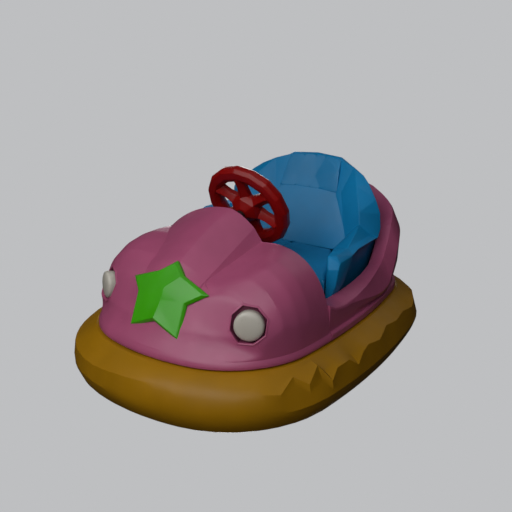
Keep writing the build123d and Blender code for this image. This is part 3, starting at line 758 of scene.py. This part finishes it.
# horn button on the driver's side: a shallow domed cap in a stepped ring
verts, faces = [], []
prof = [(15.0, 8.0), (31.5, 8.0), (31.5, 19.0), (29.5, 22.0), (25.5, 22.0), (24.0, 20.5), (23.0, 21.0), (22.0, 27.0), (18.0, 31.0), (10.0, 33.6), (3.0, 34.4)]
tube_of([[wheel_pt(r, 360.0 * k / 36, t) for k in range(36)] for r, t in prof])
new_obj("horn_button", verts, faces, "red", "steering_wheel", ("steering_hub_cap",), 24.0)
# ------------------------------------------------------------------ seat
from mathutils.geometry import delaunay_2d_cdt


def pad(name, coarse, tris, loop, up, body, nodes, mat="blue", edge=14.0, crown=5.0, thick=26.0, step=11.0, seams=()):
    """A padded panel: a coarse folded face, crowned and rolled over at its rim, with a flat back.
    coarse: corner points in mm; tris: its folded face; loop: corner numbers round the rim; up: outward axis."""
    C3 = [Vector(p) for p in coarse]
    W = Vector(up).normalized()
    U = W.cross(Vector((0, 0, 1))) if abs(W.z) < 0.9 else Vector((0, 1, 0))
    U.normalize()
    V_ = W.cross(U)
    P2 = [Vector((p.dot(U), p.dot(V_))) for p in C3]
    ring = []
    for i, k in enumerate(loop):
        a, b = P2[k], P2[loop[(i + 1) % len(loop)]]
        n = max(1, int(round((b - a).length / step)))
        ring += [a.lerp(b, q / n) for q in range(n)]
    nr = len(ring)
    pts, edges = list(ring), [(i, (i + 1) % nr) for i in range(nr)]
    R = np.array([tuple(p) for p in ring])
    R2 = np.roll(R, -1, axis=0)

    def rim_dist(q):
        q = np.asarray(q, float)
        d = R2 - R
        t = np.clip(((q - R) * d).sum(1) / (d ** 2).sum(1), 0, 1)
        return float(np.sqrt((((R + d * t[:, None]) - q) ** 2).sum(1)).min())

    def seam_dist(q, line):
        a, b = (np.array(tuple(P2[k])) for k in line[:2])
        d = b - a
        t = np.clip(((np.asarray(q, float) - a) @ d) / (d @ d), 0, 1)
        return float(np.hypot(*(a + d * t - q)))

    folds = set()
    count = {}
    for t in tris:
        for i in range(len(t)):
            e = tuple(sorted((t[i], t[(i + 1) % len(t)])))
            count[e] = count.get(e, 0) + 1
    folds = [e for e, c in count.items() if c == 2]
    for e in folds:
        a, b = P2[e[0]], P2[e[1]]
        n = max(1, int(round((b - a).length / step)))
        k0 = len(pts)
        pts += [a.lerp(b, q / n) for q in range(n + 1)]
        edges += [(k0 + q, k0 + q + 1) for q in range(n)]
    # an inner ring makes the rolled rim even
    lo, hi = R.min(0), R.max(0)
    for gx in np.arange(lo[0], hi[0], step):
        for gy in np.arange(lo[1], hi[1], step):
            d = rim_dist((gx, gy))
            inside = False
            for (x1, y1), (x2, y2) in zip(R, R2):
                if (y1 > gy) != (y2 > gy) and gx < (x2 - x1) * (gy - y1) / (y2 - y1) + x1:
                    inside = not inside
            if inside and d > step * 0.6:
                pts.append(Vector((gx, gy)))
    for f_ in (0.12, 0.35, 0.7, 1.05):
        for i in range(nr):
            a, b, c = Vector(R[i - 1]), Vector(R[i]), Vector(R[(i + 1) % nr])
            t = (c - a).normalized()
            nrm = Vector((-t.y, t.x))
            for s in (1, -1):
                q = b + nrm * (s * edge * f_)
                if abs(rim_dist(q) - edge * f_) < 0.08 * edge and point_in(q, R, R2):
                    pts.append(q)
                    break
    res = delaunay_2d_cdt(pts, edges, [], 1, 1e-4)
    v2, f2 = res[0], res[2]

    def base(q):
        best = None
        for t in tris:
            a, b, c = (P2[k] for k in t)
            det = (b.y - c.y) * (a.x - c.x) + (c.x - b.x) * (a.y - c.y)
            l1 = ((b.y - c.y) * (q.x - c.x) + (c.x - b.x) * (q.y - c.y)) / det
            l2 = ((c.y - a.y) * (q.x - c.x) + (a.x - c.x) * (q.y - c.y)) / det
            l3 = 1 - l1 - l2
            m = min(l1, l2, l3)
            if best is None or m > best[0]:
                best = (m, l1 * C3[t[0]].dot(W) + l2 * C3[t[1]].dot(W) + l3 * C3[t[2]].dot(W))
        return best[1]

    verts, nf = [], len(v2)
    deep = max(rim_dist(tuple(q)) for q in v2)
    rim_of = []
    for q in v2:
        d = rim_dist(tuple(q))
        k = min(1.0, d / edge)
        h = -edge * 0.8 * (1.0 - math.sqrt(max(0.0, 1 - (1 - k) ** 2))) + crown * (1 - math.exp(-2.2 * d / deep))
        for line in seams:
            s = seam_dist(tuple(q), line)
            h -= line[2] * math.exp(-(s / line[3]) ** 2)
        w = base(q) + h
        verts.append(U * q.x + V_ * q.y + W * w)
        rim_of.append(d < 1e-3)
    faces = [tuple(f) for f in f2]
    # side wall down to a flat back
    cnt = {}
    for f in faces:
        for i in range(len(f)):
            e = (f[i], f[(i + 1) % len(f)])
            cnt[tuple(sorted(e))] = cnt.get(tuple(sorted(e)), []) + [e]
    back = {}
    for e, l in cnt.items():
        if len(l) == 1:
            for k in e:
                if k not in back:
                    q = v2[k]
                    back[k] = len(verts)
                    verts.append(U * q.x + V_ * q.y + W * (base(q) - edge * 0.8 - thick))
    for e, l in cnt.items():
        if len(l) == 1:
            a, b = l[0]
            faces.append((b, a, back[a], back[b]))
    cen = len(verts)
    verts.append(sum((verts[k] for k in back.values()), Vector()) / len(back))
    for e, l in cnt.items():
        if len(l) == 1:
            a, b = l[0]
            faces.append((back[b], back[a], cen))
    o = new_obj(name, [p * MM for p in verts], faces, mat, body, nodes, 30.0)
    return o


def point_in(q, R, R2):
    inside = False
    for (x1, y1), (x2, y2) in zip(R, R2):
        if (y1 > q[1]) != (y2 > q[1]) and q[0] < (x2 - x1) * (q[1] - y1) / (y2 - y1) + x1:
            inside = not inside
    return inside


# seat tub: left half as corner points, then mirrored; the crease edges are rolled over a little
TUB = {
    "A0": (-425, 122, 763), "A1": (-366, 138, 639), "A2": (-365, 166, 640), "A3": (-287, 235, 477), "A4": (-262, 195, 427),
    "R8": (-431, 0, 776), "R7": (-428, 122, 768), "R6": (-410, 198, 745), "R5": (-392, 254, 719), "R4": (-372, 290, 693), "R3": (-355, 334, 636),
    "R2": (-345, 360, 586), "R1": (-340, 368, 527), "R0": (-322, 368, 493),
    "I5": (-345, 247, 683), "I4": (-270, 303, 597), "I3": (-263, 310, 548), "K": (-298, 343, 503),
    "D1": (-135, 380, 494), "D2": (-87, 385, 483), "D3": (24, 392, 481), "D4": (30, 340, 500), "D5": (-150, 262, 468), "DM": (10, 368, 502), "DN": (-110, 345, 496),
    "T8": (-446, 0, 782), "T7": (-443, 122, 773), "T6": (-436, 186, 738), "T5": (-423, 233, 706), "T4": (-403, 268, 680), "T3": (-386, 311, 623), "T2": (-376, 336, 573),
    "T1": (-371, 344, 515), "T0": (-352, 345, 482),
    "K8": (-470, 0, 755), "K7": (-470, 120, 745), "K6": (-466, 180, 715), "K5": (-460, 222, 685), "K4": (-452, 255, 652), "K3": (-445, 288, 600), "K2": (-438, 302, 550),
    "K1": (-430, 308, 500), "K0": (-400, 318, 462),
    "U1": (-300, 336, 462), "U2": (-135, 344, 464), "U3": (-80, 350, 452),
    "G8": (-462, 0, 330), "G7": (-462, 122, 330), "G6": (-455, 185, 330), "G4": (-425, 250, 330), "G2": (-395, 280, 330), "G0": (-360, 300, 330),
    "G1": (-280, 318, 330), "GU2": (-135, 334, 330), "GU3": (-70, 344, 330),
    "P2": (-60, 387, 446), "P3": (-14, 388, 392), "P4": (2, 372, 350), "P5": (4, 366, 330), "Q2": (-50, 352, 430), "Q3": (-10, 354, 385), "Q4": (0, 352, 350), "Q5": (0, 350, 330),
    "E3": (42, 397, 463), "E4": (53, 356, 458), "F3": (48, 389, 398), "F3b": (50, 371, 352), "F3c": (50, 366, 330), "F4": (54, 350, 396), "F4c": (54, 348, 330),
    "J4": (-262, 195, 330), "J5": (-150, 262, 330), "B0": (-440, 0, 760), "B1": (-390, 0, 640), "B2": (-292, 0, 425), "B3": (-292, 0, 330),
    "BA0": (-440, 118, 756), "BA1": (-390, 136, 640), "BA4": (-292, 190, 425), "J3": (-292, 190, 330),
}
TUB_F = """A0 A1 A2|A0 R7 R6|A0 R6 I5 A2|A2 I5 I4 A3|A3 I4 I3|R6 R5 I5|R5 R4 I5|R4 R3 I4 I5|R3 R2 I4|R2 R1 K I4|I4 K I3|K R1 R0
A3 I3 D5 A4|I3 K DN D5|K R0 D1 DN|DN D1 D2|D5 DN DM D4|DN D2 D3 DM|D4 DM D3 E3 E4|E4 E3 F3 F4|F4 F3 F3b F3c F4c
R8 R7 T7 T8|R7 R6 T6 T7|R6 R5 T5 T6|R5 R4 T4 T5|R4 R3 T3 T4|R3 R2 T2 T3|R2 R1 T1 T2|R1 R0 T0 T1
T8 T7 K7 K8|T7 T6 K6 K7|T6 T5 K5 K6|T5 T4 K4 K5|T4 T3 K3 K4|T3 T2 K2 K3|T2 T1 K1 K2|T1 T0 K0 K1
K8 K7 G7 G8|K7 K6 G6 G7|K6 K5 K4 G4 G6|K4 K3 K2 G2 G4|K2 K1 K0 G0 G2|T0 R0 U1 K0|R0 D1 U2 U1|D1 D2 U3 U2|K0 U1 G1 G0|U1 U2 GU2 G1|U2 U3 GU3 GU2
D2 P2 Q2 U3|P2 P3 Q3 Q2|P3 P4 Q4 Q3|P4 P5 Q5 Q4|U3 Q2 Q3 Q4 Q5 GU3|D2 D3 E3 P2|E3 F3 P3 P2|F3 F3b P4 P3|F3b F3c P5 P4
D4 E4 F4 F4c J5 D5|D5 J5 J4 A4|R8 B0 BA0 A0 R7|A0 BA0 BA1 A1|A1 BA1 BA4 A4 A3 A2|A4 BA4 J3 J4|B0 B1 BA1 BA0|B1 B2 BA4 BA1|B2 B3 J3 BA4"""
names = list(TUB)
# the right arm stands a little higher and fuller than the left one
FAR = {"D1": (0, -5, 54), "D2": (0, -3, 50), "D3": (0, 0, 24), "DM": (0, 0, 28), "DN": (0, 0, 42), "K": (0, 0, 40), "R0": (0, -8, 54), "R1": (0, -14, 40),
       "R2": (4, -20, 20), "R3": (6, -14, 6), "T0": (0, -6, 50), "T1": (0, -12, 38), "T2": (0, -18, 18), "T3": (0, -10, 4), "I3": (0, 0, 8), "E3": (0, 0, 10)}
tv = [Vector(TUB[k]) * MM for k in names]
for k in names:
    dx, dy, dz = FAR.get(k, (0, 0, 0))
    tv.append(Vector((TUB[k][0] + dx, dy - TUB[k][1], TUB[k][2] + dz)) * MM)
tf = []
for row in TUB_F.replace("\n", "|").split("|"):
    f = [names.index(k) for k in row.split()]
    tf.append(tuple(f))
    tf.append(tuple(k + len(names) for k in f)[::-1])
tub = new_obj("seat_tub", tv, tf, "blue_tub", "car_body", ("seat_shell", "seat_arm_left", "seat_arm_right"), 20.0)
bm = bmesh.new()
bm.from_mesh(tub.data)
bmesh.ops.holes_fill(bm, edges=[e for e in bm.edges if e.is_boundary], sides=60)
bmesh.ops.recalc_face_normals(bm, faces=bm.faces)
bmesh.ops.triangulate(bm, faces=[f for f in bm.faces if len(f.verts) > 3])
open_edges = [e for e in bm.edges if not e.is_manifold]
print("tub open edges", len(open_edges), [tuple(round(1000 * x) for x in v.co) for e in open_edges[:4] for v in e.verts])
bm.to_mesh(tub.data)
bm.free()
chamfer(tub, 0.006, 3, 16.0)
smooth(tub.data, 30.0)

# back pad: one broad slab of vinyl
BP = [(-371.5, 0, 645), (-368.5, 139, 640.5), (-367, 171, 639.5), (-287, 240, 478), (-260, 198, 426), (-260, 0, 422), (-260, -198, 426), (-287, -240, 478), (-367, -171, 639.5), (-368.5, -139, 640.5)]
bp_t = [(0, 1, 5), (1, 4, 5), (1, 2, 3), (1, 3, 4), (0, 5, 9), (9, 5, 6), (9, 7, 8), (9, 6, 7)]
pad("back_pad", BP, bp_t, [0, 1, 2, 3, 4, 5, 6, 7, 8, 9], (0.897, 0, 0.442), "car_body", ("seat_back_pad",), edge=1.6, crown=1.5, thick=16.0, step=12.0)
# headrest: folded band above it
HP = [(-431, 0, 775), (-429, 52, 774), (-426, 127, 766), (-365, 143, 638), (-369.5, 62, 642), (-369.5, 0, 642), (-369.5, -62, 642), (-365, -143, 638), (-426, -127, 766), (-429, -52, 774), (-391, 20, 690), (-392, 136, 724), (-395, -70, 700)]
hp_t = [(0, 1, 10), (1, 11, 10), (1, 2, 11), (10, 11, 4), (11, 3, 4), (10, 4, 5), (5, 6, 10), (10, 6, 12), (0, 10, 12), (9, 0, 12), (8, 9, 12), (7, 8, 12), (6, 7, 12)]
pad("headrest", HP, hp_t, [0, 1, 2, 11, 3, 4, 5, 6, 7, 8, 9], (0.897, 0, 0.442), "car_body", ("headrest_pad",), edge=1.6, crown=1.0, thick=14.0, step=12.0)
# seat cushion
CU = [(-258, 0, 428), (-258, 190, 428), (-150, 256, 424), (40, 336, 412), (46, 332, 404), (46, 0, 404), (46, -332, 404), (40, -336, 412), (-150, -256, 424), (-258, -190, 428), (-60, 0, 414), (10, 0, 416)]
cu_t = [(0, 1, 10), (1, 2, 10), (2, 3, 10), (3, 11, 10), (3, 4, 11), (4, 5, 11), (5, 6, 11), (6, 7, 11), (7, 10, 11), (7, 8, 10), (8, 9, 10), (9, 0, 10)]
pad("seat_cushion_pad", CU, cu_t, [0, 1, 2, 3, 4, 5, 6, 7, 8, 9], (0, 0, 1), "car_body", ("seat_cushion",), edge=16.0, crown=9.0, thick=50.0, step=15.0, seams=((0, 5, 7.0, 7.0),))
# ------------------------------------------------------------------ running gear and trim materials
def metal(name, col, rough=0.42, metallic=0.85, grain=(1, 1, 1), rust=0.0, scale=60.0, bump=0.12):
    """Steel: brushed or cast, a little dirt and, where asked, patches of rust."""
    m = Mat(name, rough)
    m.b.inputs["Metallic"].default_value = metallic
    tone = m.ramp(m.noise(scale, 4.0, 0.6, grain), [(0.3, tint(col, 0.78)), (0.7, tint(col, 1.15))])
    if rust:
        mask = m.maprange(m.noise(9.0, 6.0, 0.7), 0.52, 0.70, 0.0, rust)
        tone = m.mix(mask, tone, (0.16, 0.062, 0.025))
    m.color(tone)
    m.rough(m.maprange(m.noise(scale * 0.6, 4.0, 0.6, grain), 0.3, 0.7, rough - 0.08, rough + 0.14))
    m.bump(m.noise(scale * 4, 3.0, 0.6, grain), bump, 0.0006)
    return m.m


def rubber(name, col, rough=0.72):
    m = Mat(name, rough)
    m.color(m.ramp(m.noise(14.0, 5.0), [(0.3, tint(col, 0.75)), (0.62, col), (0.8, tuple(0.6 * x + 0.03 for x in col))]))
    m.rough(m.maprange(m.noise(40.0, 3.0), 0.3, 0.7, rough - 0.08, rough + 0.12))
    m.bump(m.noise(600.0, 3.0), 0.18, 0.0005)
    return m.m


def tread_plate(name, col):
    """Steel floor plate with crossed raised bars, scuffed bright where feet rub."""
    m = Mat(name, 0.45)
    m.b.inputs["Metallic"].default_value = 0.8
    h = None
    for a in (0.785, -0.785):
        mp = m.node("Mapping")
        mp.inputs["Rotation"].default_value = (0, 0, a)
        mp.inputs["Scale"].default_value = (34.0, 11.0, 1.0)
        m.link(m.tc.outputs["Object"], mp.inputs["Vector"])
        v = m.node("TexVoronoi", feature='F1')
        v.inputs["Randomness"].default_value = 0.0
        v.inputs["Scale"].default_value = 1.0
        m.link(mp.outputs["Vector"], v.inputs["Vector"])
        bar = m.maprange(v.outputs["Distance"], 0.20, 0.30, 1.0, 0.0)
        h = bar if h is None else m.math('MAXIMUM', h, bar)
    dirt = m.ramp(m.noise(12.0, 6.0, 0.7), [(0.35, tint(col, 0.5)), (0.7, col)])
    m.color(m.mix(m.math('MULTIPLY', h, 0.55), dirt, tint(col, 1.7)))
    m.bump(h, 0.7, 0.0016)
    return m.m


def board(name, col):
    """Painted plywood: long grain and scuffs."""
    m = Mat(name, 0.6)
    grain = m.noise(30.0, 6.0, 0.6, (1.0, 8.0, 8.0))
    m.color(m.mix(m.maprange(m.noise(45.0, 5.0, 0.7), 0.64, 0.74, 0.0, 0.5), m.ramp(grain, [(0.3, tint(col, 0.8)), (0.7, tint(col, 1.1))]), (0.30, 0.24, 0.18)))
    m.bump(grain, 0.15, 0.0008)
    return m.m


def ribbed(name, col, pitch, axis='X', rough=0.7, strength=0.8):
    """Moulded rubber with parallel ribs."""
    m = Mat(name, rough)
    w = m.node("TexWave", bands_direction=axis)
    w.inputs["Scale"].default_value = 1.0 / pitch / 6.2832 * 2 * 3.1416 / 2
    w.inputs["Distortion"].default_value = 0.0
    m.link(m.tc.outputs["Object"], w.inputs["Vector"])
    m.color(m.mix(w.outputs["Fac"], tint(col, 0.5), m.ramp(m.noise(25.0, 4.0), [(0.3, col), (0.75, tint(col, 1.6))])))
    m.bump(w.outputs["Fac"], strength, 0.002)
    return m.m


M["frame"] = metal("frame_paint", (0.045, 0.047, 0.05), 0.5, 0.2, rust=0.45, scale=30.0)
M["zinc"] = metal("zinc_channel", (0.36, 0.37, 0.38), 0.40, 0.9, (1, 1, 6), rust=0.15)
M["bright"] = metal("bright_bar", (0.52, 0.53, 0.54), 0.26, 1.0, (8, 1, 8), scale=40.0, bump=0.06)
M["cast"] = metal("grey_casting_iron", (0.17, 0.175, 0.18), 0.6, 0.5, rust=0.25, scale=50.0, bump=0.35)
M["motor"] = metal("motor_enamel", (0.035, 0.06, 0.10), 0.42, 0.15, scale=35.0)
M["plastic"] = painted("black_plastic", (0.018, 0.018, 0.02), 0.5, 0.0, 0.25, 0.12)
M["column"] = painted("column_sleeve", (0.02, 0.006, 0.006), 0.42, 0.0, 0.25, 0.1)
M["floor"] = tread_plate("floor_tread_plate", (0.22, 0.22, 0.23))
M["board"] = board("grey_board", (0.13, 0.13, 0.14))
M["pedal"] = ribbed("pedal_rubber", (0.03, 0.03, 0.032), 0.010, 'Z')
M["wheelpaint"] = metal("wheel_enamel", (0.40, 0.40, 0.39), 0.4, 0.2, rust=0.3, scale=25.0)
M["tyre"] = rubber("tyre_rubber", (0.022, 0.022, 0.024))
WORKS = {"chassis_frame": "frame", "floor_pan": "floor", "bumper_channel": "zinc", "dash_panel": "board", "toe_board": "board", "accelerator_pedal": "pedal",
         "seat_base": "board", "battery_pack": "plastic", "nose_bridge": "frame", "king_pin_housing": "cast", "gearbox_stand": "frame", "steering_gearbox": "cast",
         "steering_column": "column", "rear_axle": "bright", "axle_bracket_left": "frame", "axle_bracket_right": "frame", "steering_shaft": "bright",
         "drive_fork": "frame", "king_pin": "bright", "drive_axle": "bright", "drive_motor": "motor", "drive_wheel_rim": "wheelpaint", "drive_tyre": "tyre",
         "rear_rim_left": "wheelpaint", "rear_rim_right": "wheelpaint", "rear_tyre_left": "tyre", "rear_tyre_right": "tyre"}
for n, k in WORKS.items():
    NODES[n].data.materials.clear()
    NODES[n].data.materials.append(M[k])


def turned(prof, origin, axis, n, shape=None):
    """A closed ring of profile (along axis, radius) turned about axis; shape(k, j, r) may change the radius."""
    A = Vector(axis).normalized()
    U = A.cross(Vector((0, 0, 1))) if abs(A.z) < 0.9 else A.cross(Vector((1, 0, 0)))
    U.normalize()
    V_ = A.cross(U)
    O = Vector(origin)
    v = []
    for k in range(n):
        a = 2 * math.pi * k / n
        for j, (w, r) in enumerate(prof):
            r2 = shape(k, j, r) if shape else r
            v.append((O + A * w + (U * math.cos(a) + V_ * math.sin(a)) * r2) * MM)
    return v, grid_faces(n, len(prof), close_rows=True, close_cols=True)


def tyre_mesh(name, y, width, r_out, r_in, x, z, body, node):
    """Solid tyre: two rounding shoulders, three grooves and notched shoulder blocks."""
    h = width / 2
    g = [(-h, r_in), (-h, r_in + 6), (-h + 0.6, r_out - 10), (-h + 3.0, r_out - 4.5), (-h + 8.0, r_out - 0.6), (-h + 10.5, r_out)]
    for c in (-8.0, 0.0, 8.0):
        g += [(c - 1.9, r_out), (c - 1.4, r_out - 3.2), (c + 1.4, r_out - 3.2), (c + 1.9, r_out)]
    g += [(h - 10.5, r_out), (h - 8.0, r_out - 0.6), (h - 3.0, r_out - 4.5), (h - 0.6, r_out - 10), (h, r_in + 6), (h, r_in)]
    last = len(g) - 1
    notch = {2, 3, 4, 5, last - 2, last - 3, last - 4, last - 5}
    v, f = turned(g, (x, y, z), (0, 1, 0), 120, lambda k, j, r: r - (2.6 if j in notch and k % 4 == 0 else 0.0))
    return new_obj(name, v, f, "tyre", body, (node,), 32.0)


tyre_mesh("drive_tyre_tread", 0.0, 46.0, 105.0, 72.0, 385.0, 105.0, "drive_wheel", "drive_tyre")
tyre_mesh("rear_tyre_tread_left", 222.0, 50.0, 100.0, 66.0, -360.0, 100.0, "rear_wheel_left", "rear_tyre_left")
tyre_mesh("rear_tyre_tread_right", -222.0, 50.0, 100.0, 66.0, -360.0, 100.0, "rear_wheel_right", "rear_tyre_right")

# drive motor: finned barrel between two end bells
mp = [(-138.0, 12.0), (-138.0, 40.0), (-134.0, 50.0), (-127.0, 54.0), (-120.0, 55.0), (-119.0, 57.8), (-61.0, 57.8), (-60.0, 55.0), (-48.0, 54.0), (-41.0, 48.0), (-40.0, 40.0), (-40.0, 12.0)]
v, f = turned(mp, (385.0, 0.0, 113.0), (0, 1, 0), 144, lambda k, j, r: r - (4.2 if j in (5, 6) and k % 4 in (0, 1) else 0.0))
new_obj("drive_motor_housing", v, f, "motor", "drive_unit", ("drive_motor",), 28.0)


def bolts(name, spots, mat, body, r=6.0, h=4.0):
    """Hex heads on washers, at (point, direction)."""
    v, f = [], []
    for p, d in spots:
        W = Vector(d).normalized()
        U = W.cross(Vector((0, 0, 1))) if abs(W.z) < 0.9 else W.cross(Vector((1, 0, 0)))
        U.normalize()
        V_ = W.cross(U)
        c = Vector(p)
        for n, rr, w0, w1, cut in ((18, r * 1.45, -0.5, 1.0, 0.3), (6, r, 1.0, 1.0 + h, 1.0)):
            k0 = len(v)
            for w, q in ((w0, rr), (w1 - cut * 0.6, rr), (w1, rr - cut)):
                for i in range(n):
                    a = 2 * math.pi * i / n
                    v.append((c + W * w + (U * math.cos(a) + V_ * math.sin(a)) * q) * MM)
            for b in range(2):
                for i in range(n):
                    j = (i + 1) % n
                    f.append((k0 + b * n + i, k0 + b * n + j, k0 + (b + 1) * n + j, k0 + (b + 1) * n + i))
            f.append(tuple(k0 + 2 * n + i for i in range(n)))
            f.append(tuple(k0 + i for i in range(n))[::-1])
    return new_obj(name, v, f, mat, body, (), 28.0)


for side, sg in (("left", 1.0), ("right", -1.0)):
    ring = [((-360.0 + 40.0 * math.cos(a), sg * 230.0, 100.0 + 40.0 * math.sin(a)), (0, sg, 0)) for a in (math.pi * 2 * k / 5 + 0.3 for k in range(5))]
    bolts(f"rear_wheel_nuts_{side}", ring, "bright", f"rear_wheel_{side}", 5.0, 5.0)
bolts("drive_wheel_nuts", [((385.0 + 46.0 * math.cos(a), 23.0, 105.0 + 46.0 * math.sin(a)), (0, 1, 0)) for a in (math.pi * 2 * k / 6 for k in range(6))],
      "bright", "drive_wheel", 4.0, 3.0)
under = [((x, sg * 148.0, 82.0), (0, 0, -1)) for x in (-500.0, -420.0, -260.0, -60.0, 60.0, 185.0) for sg in (1, -1)]
under += [((x, y, 82.0), (0, 0, -1)) for x in (185.0, -160.0) for y in (-360.0, -260.0, 260.0, 360.0)]
bolts("frame_bolts", under, "bright", "car_body", 6.0, 4.0)
bolts("bridge_bolts", [((385.0 + a, sg * 296.0, 292.0), (0, 0, 1)) for a in (-24.0, 24.0) for sg in (1, -1)], "bright", "car_body", 6.0, 4.0)
ch = []
for k in range(26):
    s = (k + 0.5) * 2 * HALF / 26
    s = s if s <= HALF else s - 2 * HALF
    p0, p1 = plan(s, 92.0), plan(s, 80.0)
    ch.append(((p0[0], p0[1], 226.0), (p0[0] - p1[0], p0[1] - p1[1], 0)))
bolts("channel_bolts", ch, "bright", "car_body", 5.0, 3.0)

# kick panel: a bent sheet behind the toe board that closes the nose off from the cockpit
def kick_panel():
    rows = []
    for x, z in ((214.5, 262.0), (214.5, 328.0), (211.0, 345.0), (190.5, 452.0), (189.5, 464.0)):
        lo, hi = 100.0, 520.0
        for _ in range(24):
            m = (lo + hi) / 2
            inside = float(hood_f(np.array([[x, m, z]]))[0]) < -13.0 and float(plan_inset(np.array([x]), np.array([m]))[0]) > 34.0
            lo, hi = (m, hi) if inside else (lo, m)
        rows.append((x, z, lo))
    n = 24
    V = [(x + t, w * (2.0 * k / n - 1.0), z) for t in (0.0, 2.5) for x, z, w in rows for k in range(n + 1)]
    r, c = len(rows), n + 1
    F = []
    for s0 in (0, r * c):
        for i in range(r - 1):
            for k in range(n):
                f = (s0 + i * c + k, s0 + i * c + k + 1, s0 + (i + 1) * c + k + 1, s0 + (i + 1) * c + k)
                F.append(f if s0 == 0 else f[::-1])
    rim = [k for k in range(c)] + [i * c + n for i in range(1, r)] + [(r - 1) * c + k for k in range(n - 1, -1, -1)] + [i * c for i in range(r - 2, 0, -1)]
    for a, b in zip(rim, rim[1:] + rim[:1]):
        F.append((b, a, a + r * c, b + r * c))
    return np.array(V) * MM, F


kv, kf = kick_panel()
kick = new_obj("kick_panel", kv, kf, "board", "car_body", (), 20.0)

# ------------------------------------------------------------------ stage and light
S.view_settings.view_transform = 'Standard'
S.view_settings.look = 'None'
world = bpy.data.worlds.new("studio")
S.world = world
world.use_nodes = True
world.node_tree.nodes["Background"].inputs[0].default_value = (1, 1, 1, 1)
world.node_tree.nodes["Background"].inputs[1].default_value = 0.012


def stage_mat(name, col, strength=1.0):
    m = bpy.data.materials.new(name)
    m.use_nodes = True
    t = m.node_tree
    e = t.nodes.new("ShaderNodeEmission")
    e.inputs[0].default_value = (*col, 1)
    e.inputs[1].default_value = strength
    t.links.new(e.outputs[0], t.nodes["Material Output"].inputs[0])
    return m


# floor: one even pale tone; seen from below it lets the eye through
FLOOR = (0.515, 0.521, 0.533)
fm = bpy.data.materials.new("floor_pale")
fm.use_nodes = True
ft = fm.node_tree
for n in list(ft.nodes):
    ft.nodes.remove(n)


def fnode(kind, **kw):
    n = ft.nodes.new("ShaderNode" + kind)
    for k, v in kw.items():
        setattr(n, k, v)
    return n


out, emit, clear, geo, pick = fnode("OutputMaterial"), fnode("Emission"), fnode("BsdfTransparent"), fnode("NewGeometry"), fnode("MixShader")
emit.inputs[0].default_value = (*FLOOR, 1)
ft.links.new(geo.outputs["Backfacing"], pick.inputs[0])
ft.links.new(emit.outputs[0], pick.inputs[1])
ft.links.new(clear.outputs[0], pick.inputs[2])
ft.links.new(pick.outputs[0], out.inputs[0])
me = bpy.data.meshes.new("floor")
me.from_pydata([(-60, -60, 0), (60, -60, 0), (60, 60, 0), (-60, 60, 0)], [], [(0, 1, 2, 3)])
floor = bpy.data.objects.new("floor", me)
S.collection.objects.link(floor)
me.materials.append(fm)
floor.visible_diffuse = floor.visible_glossy = floor.visible_shadow = False
# backdrop dome of the same tone beyond the floor's horizon
bmd = bmesh.new()
bmesh.ops.create_uvsphere(bmd, u_segments=48, v_segments=24, radius=58.0)
bmesh.ops.reverse_faces(bmd, faces=bmd.faces)
dme = bpy.data.meshes.new("backdrop")
bmd.to_mesh(dme)
bmd.free()
dome = bpy.data.objects.new("backdrop", dme)
S.collection.objects.link(dome)
dme.materials.append(stage_mat("backdrop_pale", FLOOR))
dome.visible_diffuse = dome.visible_glossy = dome.visible_shadow = dome.visible_transmission = False


def area(name, loc, size, power, tgt=(0, 0, .35)):
    l = bpy.data.lights.new(name, 'AREA')
    l.energy, l.size, l.shape = power, size, 'DISK'
    o = bpy.data.objects.new(name, l)
    S.collection.objects.link(o)
    o.location = loc
    o.rotation_euler = (Vector(tgt) - Vector(loc)).to_track_quat('-Z', 'Y').to_euler()
    return o


area("soft_front", (2.96, -0.79, 3.0), 3.0, 50.0)
area("soft_left", (2.9, 1.6, 2.6), 3.0, 54.0)
area("soft_top", (0.2, 0.2, 4.4), 5.0, 20.0)
area("rim", (-3.2, 0.3, 2.8), 2.5, 7.0)
area("soft_behind", (-2.9, -2.2, 0.8), 2.0, 40.0)
area("under", (-1.7, -1.3, -2.4), 2.5, 45.0)
area("fill_left", (0.2, 3.8, 1.6), 2.5, 1.0)
